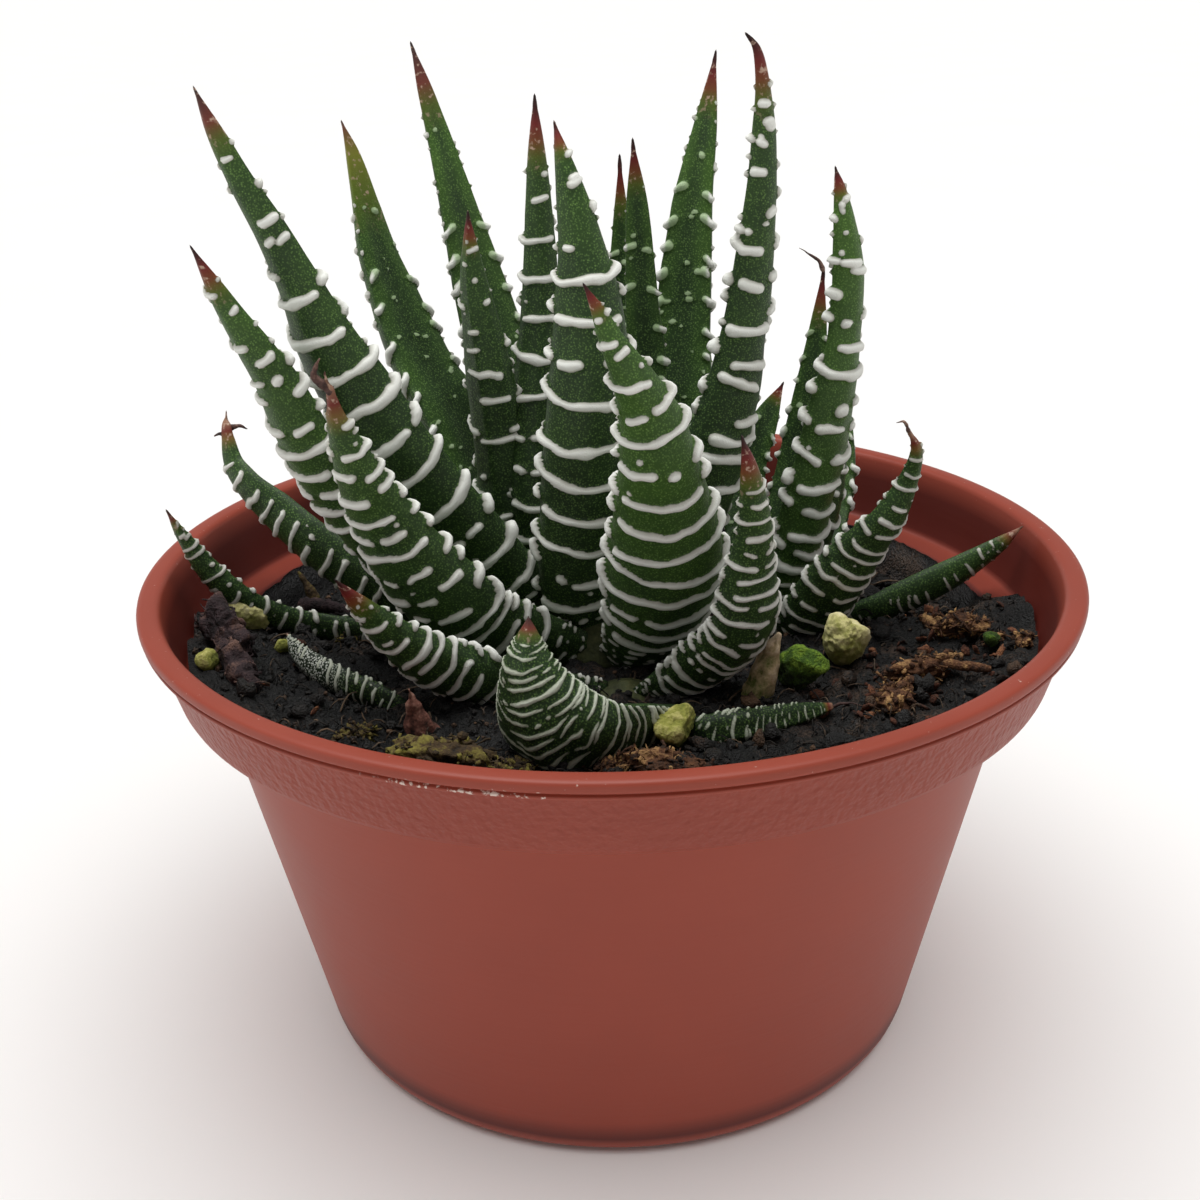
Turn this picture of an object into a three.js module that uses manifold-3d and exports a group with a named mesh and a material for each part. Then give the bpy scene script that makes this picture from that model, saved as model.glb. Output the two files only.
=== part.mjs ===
// Potted haworthia: a clump of banded leaves in a round plastic nursery pot.
// Millimetres, +Z up. The origin is the centre of the pot's foot, and -Y is the front.
import * as THREE from "three";
import { mergeVertices } from "three/addons/utils/BufferGeometryUtils.js";
import Module from "manifold-3d";

const wasm = await Module();
wasm.setup();

// Driving dimensions
const CLEARANCE = 0.35;
const SEED = 20261;

const POT = {
  height: 63,
  rimRadius: 60,
  lipDepth: 2,
  lipOverhang: 1.5,
  wall: 1.3,
  stepHeight: 52.4,
  skirtRadius: 56.2,
  bodyTopRadius: 51.9,
  baseRadius: 41.4,
  cornerRadius: 2.6,
  footOuter: 38.8,
  footInner: 35.4,
  footHeight: 1.6,
  floor: 3,
  edgeRound: 0.6,
  floorRound: 1.2,
  drainHoles: 6,
  drainRadius: 4,
  drainCircle: 27,
  drainSegments: 12,
  segments: 40,
};

const SOIL = {
  middleHeight: 50,
  sideRise: 6.5,
  sideFade: 24,
  frontRise: 1.5,
  backDrop: 2.5,
  crumbHeight: 0.6,
  radius: 58,
  rings: 6,
  segments: 32,
};

const LEAF = {
  bandHeight: 0.6,
  firstBand: 0.08,
  lastBand: 0.93,
  outerDepth: 0.58,
  tipDepth: 0.3,
  innerDepth: 0.12,
  leastHalf: 0.3,
  fullBandHalf: 2.5,
  cutterRings: 12,
  cutterEnd: 0.985,
};

// Round stems that carry the leaves: centre, radius, height of the shoulder and of the top.
const CROWNS = [
  { name: "stem_main", x: -2, y: 5, radius: 10.5, shoulder: 50, top: 60 },
  { name: "stem_right", x: 23, y: 10, radius: 6.5, shoulder: 49, top: 55 },
  { name: "stem_left", x: -20, y: 7.5, radius: 5, shoulder: 47.5, top: 51 },
  { name: "stem_front", x: 1.5, y: -13.5, radius: 5, shoulder: 47.5, top: 51.5 },
];
const STEM = { depth: 14, footShare: 0.9, domeShare: 0.7, domeRise: 0.65, sides: 12 };

// Leaves, nearest first. Facing is the compass angle that the banded outer face looks to, and rise,
// 1 unless given, is how far the inner face tips up to the sky instead of in to the clump.
// Each line point is x, y, z and the leaf's width there, from the root to the tip.
const LEAVES = [
  {
    name: "leaf_front_short", facing: 262, bands: 10,
    line: [
      [4, -14.5, 48, 12], [0.5, -23, 51.3, 16], [-6, -29.5, 54.7, 16], [-9.3, -31.5, 61.5, 7.6],
      [-9.5, -31, 68, 0],
    ],
  },
  {
    name: "leaf_front_lying", facing: 280, rise: 0.15, bands: 8,
    line: [
      [3, -19, 48.5, 3.2], [9, -25, 49.5, 4.8], [13.5, -26, 50.5, 5], [17, -25, 50.5, 4.2],
      [21.5, -23.5, 50.7, 2.8], [26.5, -22, 51.2, 0],
    ],
  },
  {
    name: "leaf_front_low", facing: 258, rise: 0.4, bands: 9,
    line: [
      [-2, -11.5, 48, 7], [-14.5, -14, 52, 9.6], [-18, -16, 54.5, 10], [-22.5, -18.5, 58, 8.2],
      [-26.5, -21, 62.5, 5.4], [-29.5, -24, 67.5, 2.6], [-31.5, -26, 71, 0],
    ],
  },
  {
    name: "leaf_front_sickle", facing: 298, rise: 0.5, bands: 11,
    line: [
      [2.5, -12, 47.5, 5.6], [8, -14.5, 52.5, 8.4], [12.5, -16, 57, 10.8], [15.5, -18.5, 62, 9],
      [16, -20, 68.5, 6.8], [16.3, -22, 75, 4.4], [15.5, -24, 82, 2.2], [14.5, -25, 86.5, 0],
    ],
  },
  {
    name: "leaf_front_broad", facing: 275, bands: 13,
    line: [
      [2.5, -1, 48, 9], [5.5, -8, 58.5, 12.6], [6.2, -11, 64, 14.2], [6.5, -14, 70, 13.8],
      [6, -18, 77, 11.2], [5.5, -21, 82.5, 9], [4.5, -23, 88.5, 7], [2.5, -25, 93.5, 4.8],
      [0.5, -26, 97.5, 3], [-1, -26.5, 101, 1.6], [-2.5, -27, 104, 0],
    ],
  },
  {
    name: "leaf_front_left", facing: 248, rise: 0.4, bands: 12,
    line: [
      [-4, 1, 48, 11], [-17.5, -5.5, 57.5, 14.6], [-21.5, -9, 63.5, 14], [-24.5, -11, 68.5, 12.2],
      [-27, -13, 74, 9.4], [-29, -15.5, 80, 6.6], [-30.7, -18, 87, 3], [-31.5, -20, 93.5, 0],
    ],
  },
  {
    name: "leaf_centre", facing: 268, bands: 13,
    line: [
      [-3, 2, 49, 8.6], [-4.2, -2, 59.5, 10], [-3.5, -4, 68, 11], [-3, -5.5, 75.5, 10.8],
      [-2.5, -6.5, 83.5, 10.2], [-2, -6.5, 91, 9.3], [-2.1, -6, 98, 7.8], [-2.6, -5.5, 103.5, 5.8],
      [-3.5, -5, 109, 4], [-4.7, -4, 114.5, 1.8], [-5.5, -3, 118, 0],
    ],
  },
  {
    name: "leaf_left_high", facing: 246, rise: 0.5, bands: 12,
    line: [
      [-6, 5, 49, 10], [-15, 2.5, 61, 13], [-22.5, 0, 72, 13.2], [-27.7, -1.5, 80.5, 12.6],
      [-31, -2, 87.5, 11.4], [-33.7, -2.7, 93, 9.4], [-36, -3.5, 99.5, 6.6], [-39, -4.5, 107, 4.8],
      [-41.6, -5.2, 112.5, 3.6], [-43.8, -6, 118, 2.4], [-45.5, -7, 123, 0],
    ],
  },
  {
    name: "leaf_left_low", facing: 243, rise: 0.5, bands: 11,
    line: [
      [-14, 4, 47.5, 7.5], [-23, 2, 57, 9], [-29, -1, 65.5, 9.4], [-33, -3, 72.5, 9.2],
      [-35.3, -5, 78, 8.8], [-37, -6.5, 83, 8.2], [-39, -8, 89.5, 6.8], [-41, -9.5, 94, 5.4],
      [-43, -10.5, 98, 3.9], [-44.7, -11.5, 102, 2.4], [-46.5, -13, 106.5, 0],
    ],
  },
  {
    name: "leaf_inner_narrow", facing: 265, bands: 11,
    line: [
      [-7, 6, 55, 4.5], [-9.5, 5, 66, 6.2], [-9.3, 6.5, 79.5, 6.2], [-8.2, 8.5, 95, 4.8],
      [-8, 9, 106, 3.4], [-8, 9, 112, 2.4], [-8, 9, 116, 1.4], [-8, 9, 120, 0],
    ],
  },
  {
    name: "leaf_inner_left", facing: 252, bands: 9,
    line: [
      [-8, 6, 51, 5], [-13.5, 7.5, 65.5, 7], [-14.1, 7.5, 72.5, 7], [-14.5, 7, 80, 6.8],
      [-15, 6, 86.5, 6.4], [-15.6, 5.5, 92.5, 5.2], [-16.3, 5, 99, 3.4], [-16.5, 4.5, 104, 1.4],
      [-16.5, 4, 107, 0],
    ],
  },
  {
    name: "leaf_right_tall", facing: 296, rise: 0.7, bands: 12,
    line: [
      [4, 5, 51, 8], [9, 5.5, 61, 10], [12, 5.5, 69.5, 10.4], [14, 5, 77, 10], [15.8, 4.5, 83, 8.4],
      [17, 4, 90, 6.9], [18, 3.5, 96.5, 5.9], [18.6, 2.5, 103.5, 4.9], [19, 1.5, 110, 3.9],
      [19.1, 1, 116, 3], [18.8, 0, 121, 1.9], [18, -1, 125, 1], [16.5, -2, 127, 0],
    ],
  },
  {
    name: "leaf_back_left", facing: 140, bands: 8,
    line: [
      [-8, 9, 50, 9], [-15.5, 14, 65, 11.4], [-21, 18.5, 78, 11.2], [-24, 20.5, 82.5, 10.5],
      [-26.3, 22.5, 87, 9.6], [-28.4, 24.5, 92, 8.4], [-30.5, 26, 98, 6.8], [-32, 27.5, 104.5, 5],
      [-33.5, 29, 111, 2.8], [-35, 30, 115.5, 0],
    ],
  },
  {
    name: "leaf_back_left_tall", facing: 118, bands: 9,
    line: [
      [-5, 9, 53, 9], [-11, 15, 77, 9.8], [-15, 19, 88.5, 9], [-16.5, 20.5, 94, 7.9],
      [-17.7, 21.5, 99, 6.8], [-19, 22.5, 104.5, 5.4], [-20.4, 23.7, 110, 4.2],
      [-21.6, 25, 114.5, 3.2], [-23, 25.5, 120, 2], [-24.5, 26, 125.5, 0],
    ],
  },
  {
    name: "leaf_back_right_tall", facing: 68, bands: 9,
    line: [
      [3, 9, 53, 8.5], [9, 17, 76, 9.8], [10.5, 21, 87.5, 8.4], [12, 24, 102.5, 6], [14, 26, 114, 3.3],
      [15.5, 27, 123.5, 0],
    ],
  },
  {
    name: "leaf_young_right", facing: 80, bands: 7,
    line: [
      [1.5, 8, 57, 5.5], [5.3, 14, 80, 5.6], [5, 15, 93, 4.4], [4.5, 15, 105.5, 2.8], [4, 14, 114, 0],
    ],
  },
  {
    name: "leaf_young_left", facing: 92, bands: 7,
    line: [
      [-1, 8.5, 57, 4.5], [1, 17, 79, 4], [2, 20, 88, 3.6], [2.5, 22, 99, 2.8], [2.5, 23, 111, 0],
    ],
  },
  {
    name: "leaf_far_right_low", facing: 290, rise: 0.5, bands: 9,
    line: [
      [20, 8, 47.5, 6], [26, 4, 51.5, 9.8], [29, 0.5, 58.5, 9.8], [32.2, -1, 64, 7.9],
      [35.3, -3, 68.7, 5.2], [37.3, -4, 73.5, 3.1], [38, -5.5, 78, 1.6], [36.5, -7, 81.5, 0],
    ],
  },
  {
    name: "leaf_far_right_tall", facing: 308, rise: 0.7, bands: 10,
    line: [
      [22, 9, 48.5, 6.4], [25.3, 9.5, 61, 9.2], [26.5, 9, 67, 9.2], [27.8, 8.5, 73, 8.9],
      [29, 8, 80.5, 7.8], [30, 7.5, 86.5, 6.2], [30.5, 7.5, 92, 5.4], [30.6, 7, 97.5, 4.8],
      [30, 6.5, 103, 3.6], [29.2, 6.3, 108, 1.8], [28.5, 6, 111, 0],
    ],
  },
  {
    name: "leaf_far_right_inner", facing: 318, bands: 6,
    line: [
      [23, 11.5, 48, 5], [27.5, 15, 56, 7], [30, 15.5, 64.5, 6.5], [31.5, 16, 73, 3.4],
      [32, 16, 79.5, 0],
    ],
  },
  {
    name: "leaf_right_thin", facing: 285, rise: 0.3, bands: 8,
    line: [
      [25, 8.5, 48, 3.6], [35, 6, 51.7, 4.8], [38.5, 6, 53.2, 5.3], [42.7, 6, 55.2, 5.4],
      [47.2, 6, 57.7, 4.6], [52.3, 6, 61, 2.6], [55.5, 6, 63.5, 0],
    ],
  },
  {
    name: "leaf_left_hooked", facing: 215, rise: 0.2, bands: 9,
    line: [
      [-18, 7, 47, 6], [-27, 7.5, 53, 9.5], [-34, 9, 58, 9.9], [-40.5, 11, 62.7, 9],
      [-45.2, 13, 66.5, 7.8], [-48.7, 14, 69.5, 6], [-50.8, 15.5, 72, 4.6], [-51.8, 16.5, 76, 2.4],
      [-52, 17, 79, 0],
    ],
  },
  {
    name: "leaf_left_thin", facing: 255, rise: 0.3, bands: 9,
    line: [
      [-21, 6, 48, 4.6], [-31, 4, 50.5, 5], [-39, 3, 52.7, 4.6], [-43, 2.5, 54, 4.4],
      [-47, 1.5, 56.3, 4.4], [-50.2, 0.5, 59.5, 4.3], [-52.8, 0, 63, 3.6], [-55, -1, 67.5, 2],
      [-56.5, -2, 71.5, 0],
    ],
  },
  {
    name: "leaf_sprout_left", facing: 260, rise: 0.2, bands: 5,
    line: [
      [-23, -18.5, 48, 3], [-29, -16, 51, 3.8], [-33.5, -13.5, 51.8, 4], [-36.8, -11, 52.3, 4.2],
      [-40, -8.5, 53.7, 2.8], [-42, -6, 55.5, 0],
    ],
  },
  {
    name: "leaf_far_right_hidden", facing: 60, bands: 7,
    line: [
      [22, 12, 52.5, 5], [26, 17.5, 67, 6], [28.5, 19.5, 82, 4], [29.8, 21, 96, 0],
    ],
  },
  {
    name: "leaf_far_right_back", facing: 95, bands: 6,
    line: [
      [20, 12, 51.5, 5.5], [19.5, 22, 65.5, 6], [22.5, 25, 73, 4], [25.5, 27, 78.5, 0],
    ],
  },
  {
    name: "leaf_rear_left", facing: 128, bands: 8,
    line: [
      [-6, 9, 47.5, 8], [-15, 23, 54, 9.5], [-23, 33, 67, 7.5], [-28, 39, 84, 0],
    ],
  },
  {
    name: "leaf_rear_middle", facing: 95, bands: 8,
    line: [
      [-2, 10, 48, 8], [-2.5, 26, 56, 10.5], [-4, 36, 71, 8], [-5, 41, 91, 0],
    ],
  },
  {
    name: "leaf_rear_right", facing: 65, bands: 8,
    line: [
      [2, 9.5, 47.5, 8], [9.5, 26, 54, 9.5], [13.5, 36, 67, 7.5], [15.5, 42, 85, 0],
    ],
  },
  {
    name: "leaf_rear_far_right", facing: 55, bands: 7,
    line: [
      [24, 12, 48, 6], [30, 23, 54, 7.5], [34, 31, 64, 6], [36, 36, 77, 0],
    ],
  },
  {
    name: "leaf_rear_far_left", facing: 125, bands: 7,
    line: [
      [-21, 9, 47.5, 5], [-28, 20, 54, 6.5], [-32, 27, 62, 5], [-34, 31, 72, 0],
    ],
  },
];

// Loose bits on the soil: centre, half sizes, turn about Z and lean in degrees, and how rough
// each lump is.
const BITS = [
  {
    name: "perlite_left", kind: "perlite",
    at: [-48.6, 0.4, 56], half: [3.2, 2.8, 3], turn: 20, lean: 10, rough: 0.16,
  },
  {
    name: "perlite_far_left", kind: "perlite",
    at: [-48.6, -13.4, 55.2], half: [1.7, 1.5, 1.6], turn: 0, lean: 0, rough: 0.15,
  },
  {
    name: "bark_left", kind: "dark_bark",
    at: [-47.8, -7.2, 57], half: [1.5, 3.3, 4.6], turn: 65, lean: 24, rough: 0.14,
  },
  {
    name: "perlite_front", kind: "perlite",
    at: [6.6, -29, 52.6], half: [3, 2.4, 2.6], turn: 35, lean: 0, rough: 0.16,
  },
  {
    name: "moss_right", kind: "moss",
    at: [22.9, -15.4, 53], half: [3.6, 3, 3], turn: 0, lean: 0, rough: 0.1,
  },
  {
    name: "perlite_right", kind: "pale_perlite",
    at: [29, -10.4, 54.8], half: [3.3, 2.9, 4.3], turn: 10, lean: 14, rough: 0.17,
  },
  {
    name: "bark_right", kind: "bark",
    at: [38, -17.6, 54], half: [6, 1.9, 1.7], turn: 24, lean: 8, rough: 0.18,
  },
  {
    name: "bark_right_front", kind: "bark",
    at: [33.5, -22.4, 52.8], half: [3.4, 2.4, 1.8], turn: 70, lean: 0, rough: 0.2,
  },
  {
    name: "bark_right_rear", kind: "bark",
    at: [45, -7, 55], half: [3.2, 1.8, 1.6], turn: 150, lean: 0, rough: 0.2,
  },
  {
    name: "moss_bit_right", kind: "moss",
    at: [47.6, -11.6, 54.9], half: [1.3, 1.1, 1.2], turn: 0, lean: 0, rough: 0.1,
  },
  {
    name: "moss_patch_front", kind: "dry_moss",
    at: [-19.5, -33, 52], half: [6.4, 3, 1.8], turn: 8, lean: 0, rough: 0.2,
  },
  {
    name: "bark_front", kind: "bark",
    at: [5.4, -35.6, 51.8], half: [4.2, 2.6, 1.7], turn: 170, lean: 0, rough: 0.2,
  },
];

// Dried leaf stubs that stand in the soil: foot, tip and width.
const STUB = { rings: 5, sides: 6, taper: 0.75, thickness: 0.45 };
const STUBS = [
  { name: "dry_stub_right", foot: [17, -17.8, 47.5], tip: [20, -16.6, 58.4], width: 3.6 },
  { name: "dry_stub_left", foot: [-23.6, -24.2, 47.5], tip: [-23.8, -26.6, 57.6], width: 3.4 },
];

const MATERIALS = {
  pot: new THREE.MeshStandardMaterial({ color: "#7f3c31", roughness: 0.55, metalness: 0 }),
  soil: new THREE.MeshStandardMaterial({ color: "#231c18", roughness: 0.95, metalness: 0 }),
  stem: new THREE.MeshStandardMaterial({ color: "#5d6238", roughness: 0.7, metalness: 0 }),
  leaf: new THREE.MeshStandardMaterial({ color: "#345226", roughness: 0.45, metalness: 0 }),
  stub: new THREE.MeshStandardMaterial({ color: "#8f7a58", roughness: 0.85, metalness: 0 }),
  perlite: new THREE.MeshStandardMaterial({ color: "#9a9c4a", roughness: 0.9, metalness: 0 }),
  pale_perlite: new THREE.MeshStandardMaterial({ color: "#c9bf86", roughness: 0.9, metalness: 0 }),
  moss: new THREE.MeshStandardMaterial({ color: "#5f7f1f", roughness: 0.9, metalness: 0 }),
  dry_moss: new THREE.MeshStandardMaterial({ color: "#5e5630", roughness: 0.95, metalness: 0 }),
  bark: new THREE.MeshStandardMaterial({ color: "#7a5638", roughness: 0.9, metalness: 0 }),
  dark_bark: new THREE.MeshStandardMaterial({ color: "#3d2c33", roughness: 0.9, metalness: 0 }),
};

const UP = new THREE.Vector3(0, 0, 1);

// Seeded draw in 0 to 1, the same on every run.
function randomFrom(seed) {
  let state = seed >>> 0;
  return () => {
    state = (Math.imul(state, 1664525) + 1013904223) >>> 0;
    return state / 4294967296;
  };
}

// A closed geometry as a solid, with shared vertices merged and collapsed faces dropped.
function solidOf(geometry) {
  const bare = geometry.clone();
  bare.deleteAttribute("normal");
  bare.deleteAttribute("uv");
  const merged = mergeVertices(bare, 1e-4);
  const source = merged.index.array;
  const faces = [];
  for (let i = 0; i < source.length; i += 3) {
    const [a, b, c] = [source[i], source[i + 1], source[i + 2]];
    if (a !== b && b !== c && a !== c) faces.push(a, b, c);
  }
  const vertProperties = merged.attributes.position.array;
  const solid = new wasm.Manifold(
    new wasm.Mesh({ numProp: 3, vertProperties, triVerts: new Uint32Array(faces) }),
  );
  if (solid.volume() > 0) return solid;
  for (let i = 0; i < faces.length; i += 3) [faces[i + 1], faces[i + 2]] = [faces[i + 2], faces[i + 1]];
  return new wasm.Manifold(
    new wasm.Mesh({ numProp: 3, vertProperties, triVerts: new Uint32Array(faces) }),
  );
}

function solidFrom(points, faces) {
  const geometry = new THREE.BufferGeometry();
  geometry.setAttribute("position", new THREE.Float32BufferAttribute(points.flat(), 3));
  geometry.setIndex(faces.flat());
  return solidOf(geometry);
}

function meshOf(name, solid, material) {
  const { numProp, numVert, vertProperties, triVerts } = solid.getMesh();
  const positions = new Float32Array(numVert * 3);
  for (let i = 0; i < numVert; i++) {
    positions.set(vertProperties.subarray(i * numProp, i * numProp + 3), i * 3);
  }
  const geometry = new THREE.BufferGeometry();
  geometry.setAttribute("position", new THREE.BufferAttribute(positions, 3));
  geometry.setIndex(new THREE.BufferAttribute(triVerts, 1));
  geometry.computeVertexNormals();
  const mesh = new THREE.Mesh(geometry, material);
  mesh.name = name;
  return mesh;
}

// The largest body of a cut solid, so that no loose scrap is left.
function mainBody(solid) {
  const bodies = solid.decompose();
  return bodies.reduce((best, body) => (body.volume() > best.volume() ? body : best));
}

// Takes each cutter that reaches into the solid out of it.
function cutBy(solid, cutters) {
  let rest = solid;
  for (const cutter of cutters) {
    if (rest.intersect(cutter).volume() > 0) rest = mainBody(rest.subtract(cutter));
  }
  return rest;
}

// A profile of [radius, height] points turned about Z.
function turned(profile, segments) {
  const points = profile.map(([radius, height]) => new THREE.Vector2(radius, height));
  return new THREE.LatheGeometry(points, segments).rotateX(Math.PI / 2);
}

// Inner radius of the pot's wall at a height below the step.
function potInnerRadius(height) {
  const share = (height - POT.cornerRadius) / (POT.stepHeight - POT.cornerRadius);
  return THREE.MathUtils.lerp(POT.baseRadius, POT.bodyTopRadius, share) - POT.wall;
}

// The inside of the pot from the lip down to the floor, as [radius, height]: skirt, ledge and wall.
function potInside() {
  const { height, rimRadius, lipOverhang, wall, stepHeight, skirtRadius, bodyTopRadius } = POT;
  const { floor, floorRound, edgeRound } = POT;
  const ledge = stepHeight + wall;
  return [
    [rimRadius - lipOverhang - wall, height - edgeRound],
    [skirtRadius - wall, ledge + edgeRound],
    [skirtRadius - wall - edgeRound, ledge],
    [bodyTopRadius - wall, ledge - edgeRound / 2],
    [potInnerRadius(floor + floorRound), floor + floorRound],
    [potInnerRadius(floor) - floorRound, floor],
    [0, floor],
  ];
}

function buildPot() {
  const { height, rimRadius, wall, stepHeight, skirtRadius, bodyTopRadius, baseRadius } = POT;
  const { edgeRound, cornerRadius, footHeight } = POT;
  const lipUnder = height - POT.lipDepth;
  const skirtTop = rimRadius - POT.lipOverhang;
  const profile = [
    [0, footHeight],
    [POT.footInner - edgeRound, footHeight],
    [POT.footInner, 0],
    [POT.footOuter, 0],
    [baseRadius - 0.35 * cornerRadius, 0.35 * cornerRadius],
    [baseRadius, cornerRadius],
    [bodyTopRadius, stepHeight - edgeRound],
    [bodyTopRadius + edgeRound, stepHeight],
    [skirtRadius - edgeRound, stepHeight],
    [skirtRadius, stepHeight + edgeRound],
    [skirtTop, lipUnder - edgeRound],
    [skirtTop + edgeRound / 2, lipUnder],
    [rimRadius, lipUnder + edgeRound / 2],
    [rimRadius, height - edgeRound],
    [rimRadius - edgeRound, height],
    [skirtTop - wall + edgeRound, height],
    ...potInside(),
  ];
  let pot = solidOf(turned(profile, POT.segments));
  for (let i = 0; i < POT.drainHoles; i++) {
    const angle = ((i + 0.5) / POT.drainHoles) * 2 * Math.PI;
    const { drainRadius, drainSegments } = POT;
    const hole = new THREE.CylinderGeometry(drainRadius, drainRadius, 4 * POT.floor, drainSegments)
      .rotateX(Math.PI / 2)
      .translate(POT.drainCircle * Math.cos(angle), POT.drainCircle * Math.sin(angle), 0);
    pot = pot.subtract(solidOf(hole));
  }
  return pot;
}

// Height of the soil: crumbly, heaped up at both sides in front and lower at the back.
function soilHeight(x, y) {
  const aside = Math.abs(x / SOIL.radius) ** 3;
  const front = 1 - THREE.MathUtils.smoothstep(y, 0, SOIL.sideFade);
  const rise = SOIL.sideRise * aside * front + SOIL.frontRise * Math.max(-y / SOIL.radius, 0);
  const drop = SOIL.backDrop * Math.max(y / SOIL.radius, 0);
  const crumbs =
    (Math.sin(0.9 * x + 1.3) * Math.cos(0.75 * y) + 0.6 * Math.sin(1.7 * y + 0.6 * x) * Math.cos(1.4 * x)) /
    1.6;
  return SOIL.middleHeight + rise - drop + SOIL.crumbHeight * crumbs;
}

// The root ball: it fills the inside of the pot up to the lumpy top.
function buildSoil() {
  const inside = potInside().map(([radius, height]) => [
    Math.max(radius - CLEARANCE, 0), height + CLEARANCE,
  ]);
  const fill = solidOf(turned([[0, inside[0][1]], ...inside], POT.segments));
  const around = SOIL.segments;
  const at = (ring, step) => (ring === 0 ? 0 : 1 + (ring - 1) * around + (step % around));
  const points = [[0, 0, soilHeight(0, 0)]];
  const faces = [];
  for (let ring = 1; ring <= SOIL.rings; ring++) {
    const radius = (SOIL.radius * ring) / SOIL.rings;
    for (let step = 0; step < around; step++) {
      const angle = (step / around) * 2 * Math.PI;
      const [x, y] = [radius * Math.cos(angle), radius * Math.sin(angle)];
      points.push([x, y, soilHeight(x, y)]);
    }
  }
  const low = points.length;
  for (let step = 0; step < around; step++) {
    const [x, y] = points[at(SOIL.rings, step)];
    points.push([x, y, 0]);
  }
  const bottom = points.push([0, 0, 0]) - 1;
  for (let step = 0; step < around; step++) {
    faces.push([0, at(1, step), at(1, step + 1)]);
    for (let ring = 1; ring < SOIL.rings; ring++) {
      const [a, b] = [at(ring, step), at(ring, step + 1)];
      const [c, d] = [at(ring + 1, step), at(ring + 1, step + 1)];
      faces.push([a, c, d], [a, d, b]);
    }
    const [edge, nextEdge] = [at(SOIL.rings, step), at(SOIL.rings, step + 1)];
    const [under, nextUnder] = [low + step, low + ((step + 1) % around)];
    faces.push([edge, under, nextUnder], [edge, nextUnder, nextEdge], [under, bottom, nextUnder]);
  }
  return mainBody(fill.intersect(solidFrom(points, faces)));
}

// A short round stem with a domed top, grown by a margin on every side.
function buildCrown(crown, margin = 0) {
  const radius = crown.radius + margin;
  const foot = crown.shoulder - STEM.depth - margin;
  const dome = THREE.MathUtils.lerp(crown.shoulder, crown.top, STEM.domeRise);
  const profile = [
    [0, foot],
    [STEM.footShare * radius, foot],
    [radius, crown.shoulder + margin],
    [STEM.domeShare * radius, dome + margin],
    [0, crown.top + margin],
  ];
  return solidOf(turned(profile, STEM.sides).translate(crown.x, crown.y, 0));
}

// Places along a leaf where a ring of points goes: a crest on each white band and a dip between two.
function bandedRings(bands) {
  const step = (LEAF.lastBand - LEAF.firstBand) / (bands - 1);
  const rings = [{ along: 0, raised: 0 }];
  for (let band = 0; band < bands; band++) {
    const along = LEAF.firstBand + band * step;
    const dip = Math.min(along + step / 2, (along + 1) / 2);
    rings.push({ along, raised: 1 }, { along: dip, raised: 0 });
  }
  return rings;
}

// Even places along a leaf, up to just short of its tip.
function evenRings(count) {
  const step = LEAF.cutterEnd / (count - 1);
  return Array.from({ length: count }, (unused, i) => ({ along: i * step, raised: 0 }));
}

// Corners of a leaf's section, in degrees about its axis: two margins, the flat inner face at 90 degrees
// and the keeled outer face from 180 to 360.
const WIDE_SECTION = [0, 90, 180, 212, 248, 292, 328];
const NARROW_SECTION = [0, 90, 180, 225, 270, 315];
const WIDE_FROM = 8;

function sectionOf(leaf) {
  const widest = Math.max(...leaf.line.map(([, , , width]) => width));
  return (widest >= WIDE_FROM ? WIDE_SECTION : NARROW_SECTION).map((degrees) => {
    const angle = THREE.MathUtils.degToRad(degrees);
    return { across: Math.cos(angle), out: Math.sin(angle), inner: degrees === 90 };
  });
}

// A fleshy leaf along its line, with its white bands raised as crests on the outer face and margins.
function buildLeaf(leaf, rings, margin = 0) {
  const route = new THREE.CatmullRomCurve3(
    leaf.line.map(([x, y, z]) => new THREE.Vector3(x, y, z)), false, "catmullrom", 0.5,
  );
  const widths = new THREE.CatmullRomCurve3(
    leaf.line.map(([, , , width]) => new THREE.Vector3(width, 0, 0)), false, "catmullrom", 0.5,
  );
  const facing = THREE.MathUtils.degToRad(leaf.facing);
  const inward = new THREE.Vector3(-Math.cos(facing), -Math.sin(facing), leaf.rise ?? 1);
  const section = sectionOf(leaf);
  const points = [];
  for (const { along, raised } of rings) {
    const t = route.getUtoTmapping(along);
    const centre = route.getPoint(t);
    const tangent = route.getTangent(t);
    const normal = inward.clone().addScaledVector(tangent, -inward.dot(tangent)).normalize();
    const side = normal.clone().cross(tangent);
    const half = Math.max(widths.getPoint(t).x / 2, LEAF.leastHalf);
    const crest = raised * LEAF.bandHeight * Math.min(1, half / LEAF.fullBandHalf);
    if (along === 0) centre.addScaledVector(tangent, -margin);
    for (const { across, out, inner } of section) {
      const depth = inner ? LEAF.innerDepth : LEAF.outerDepth + LEAF.tipDepth * along;
      const grow = margin + (inner ? 0 : crest);
      const point = centre.clone();
      point.addScaledVector(side, across * (half + grow));
      point.addScaledVector(normal, out * (half * depth + grow));
      points.push(point.toArray());
    }
  }
  const tip = route.getPoint(1).addScaledVector(route.getTangent(1), margin * 2);
  const root = route.getPoint(0).addScaledVector(route.getTangent(0), -margin);
  points.push(root.toArray(), tip.toArray());
  return solidFrom(points, tubeFaces(rings.length, section.length));
}

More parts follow.
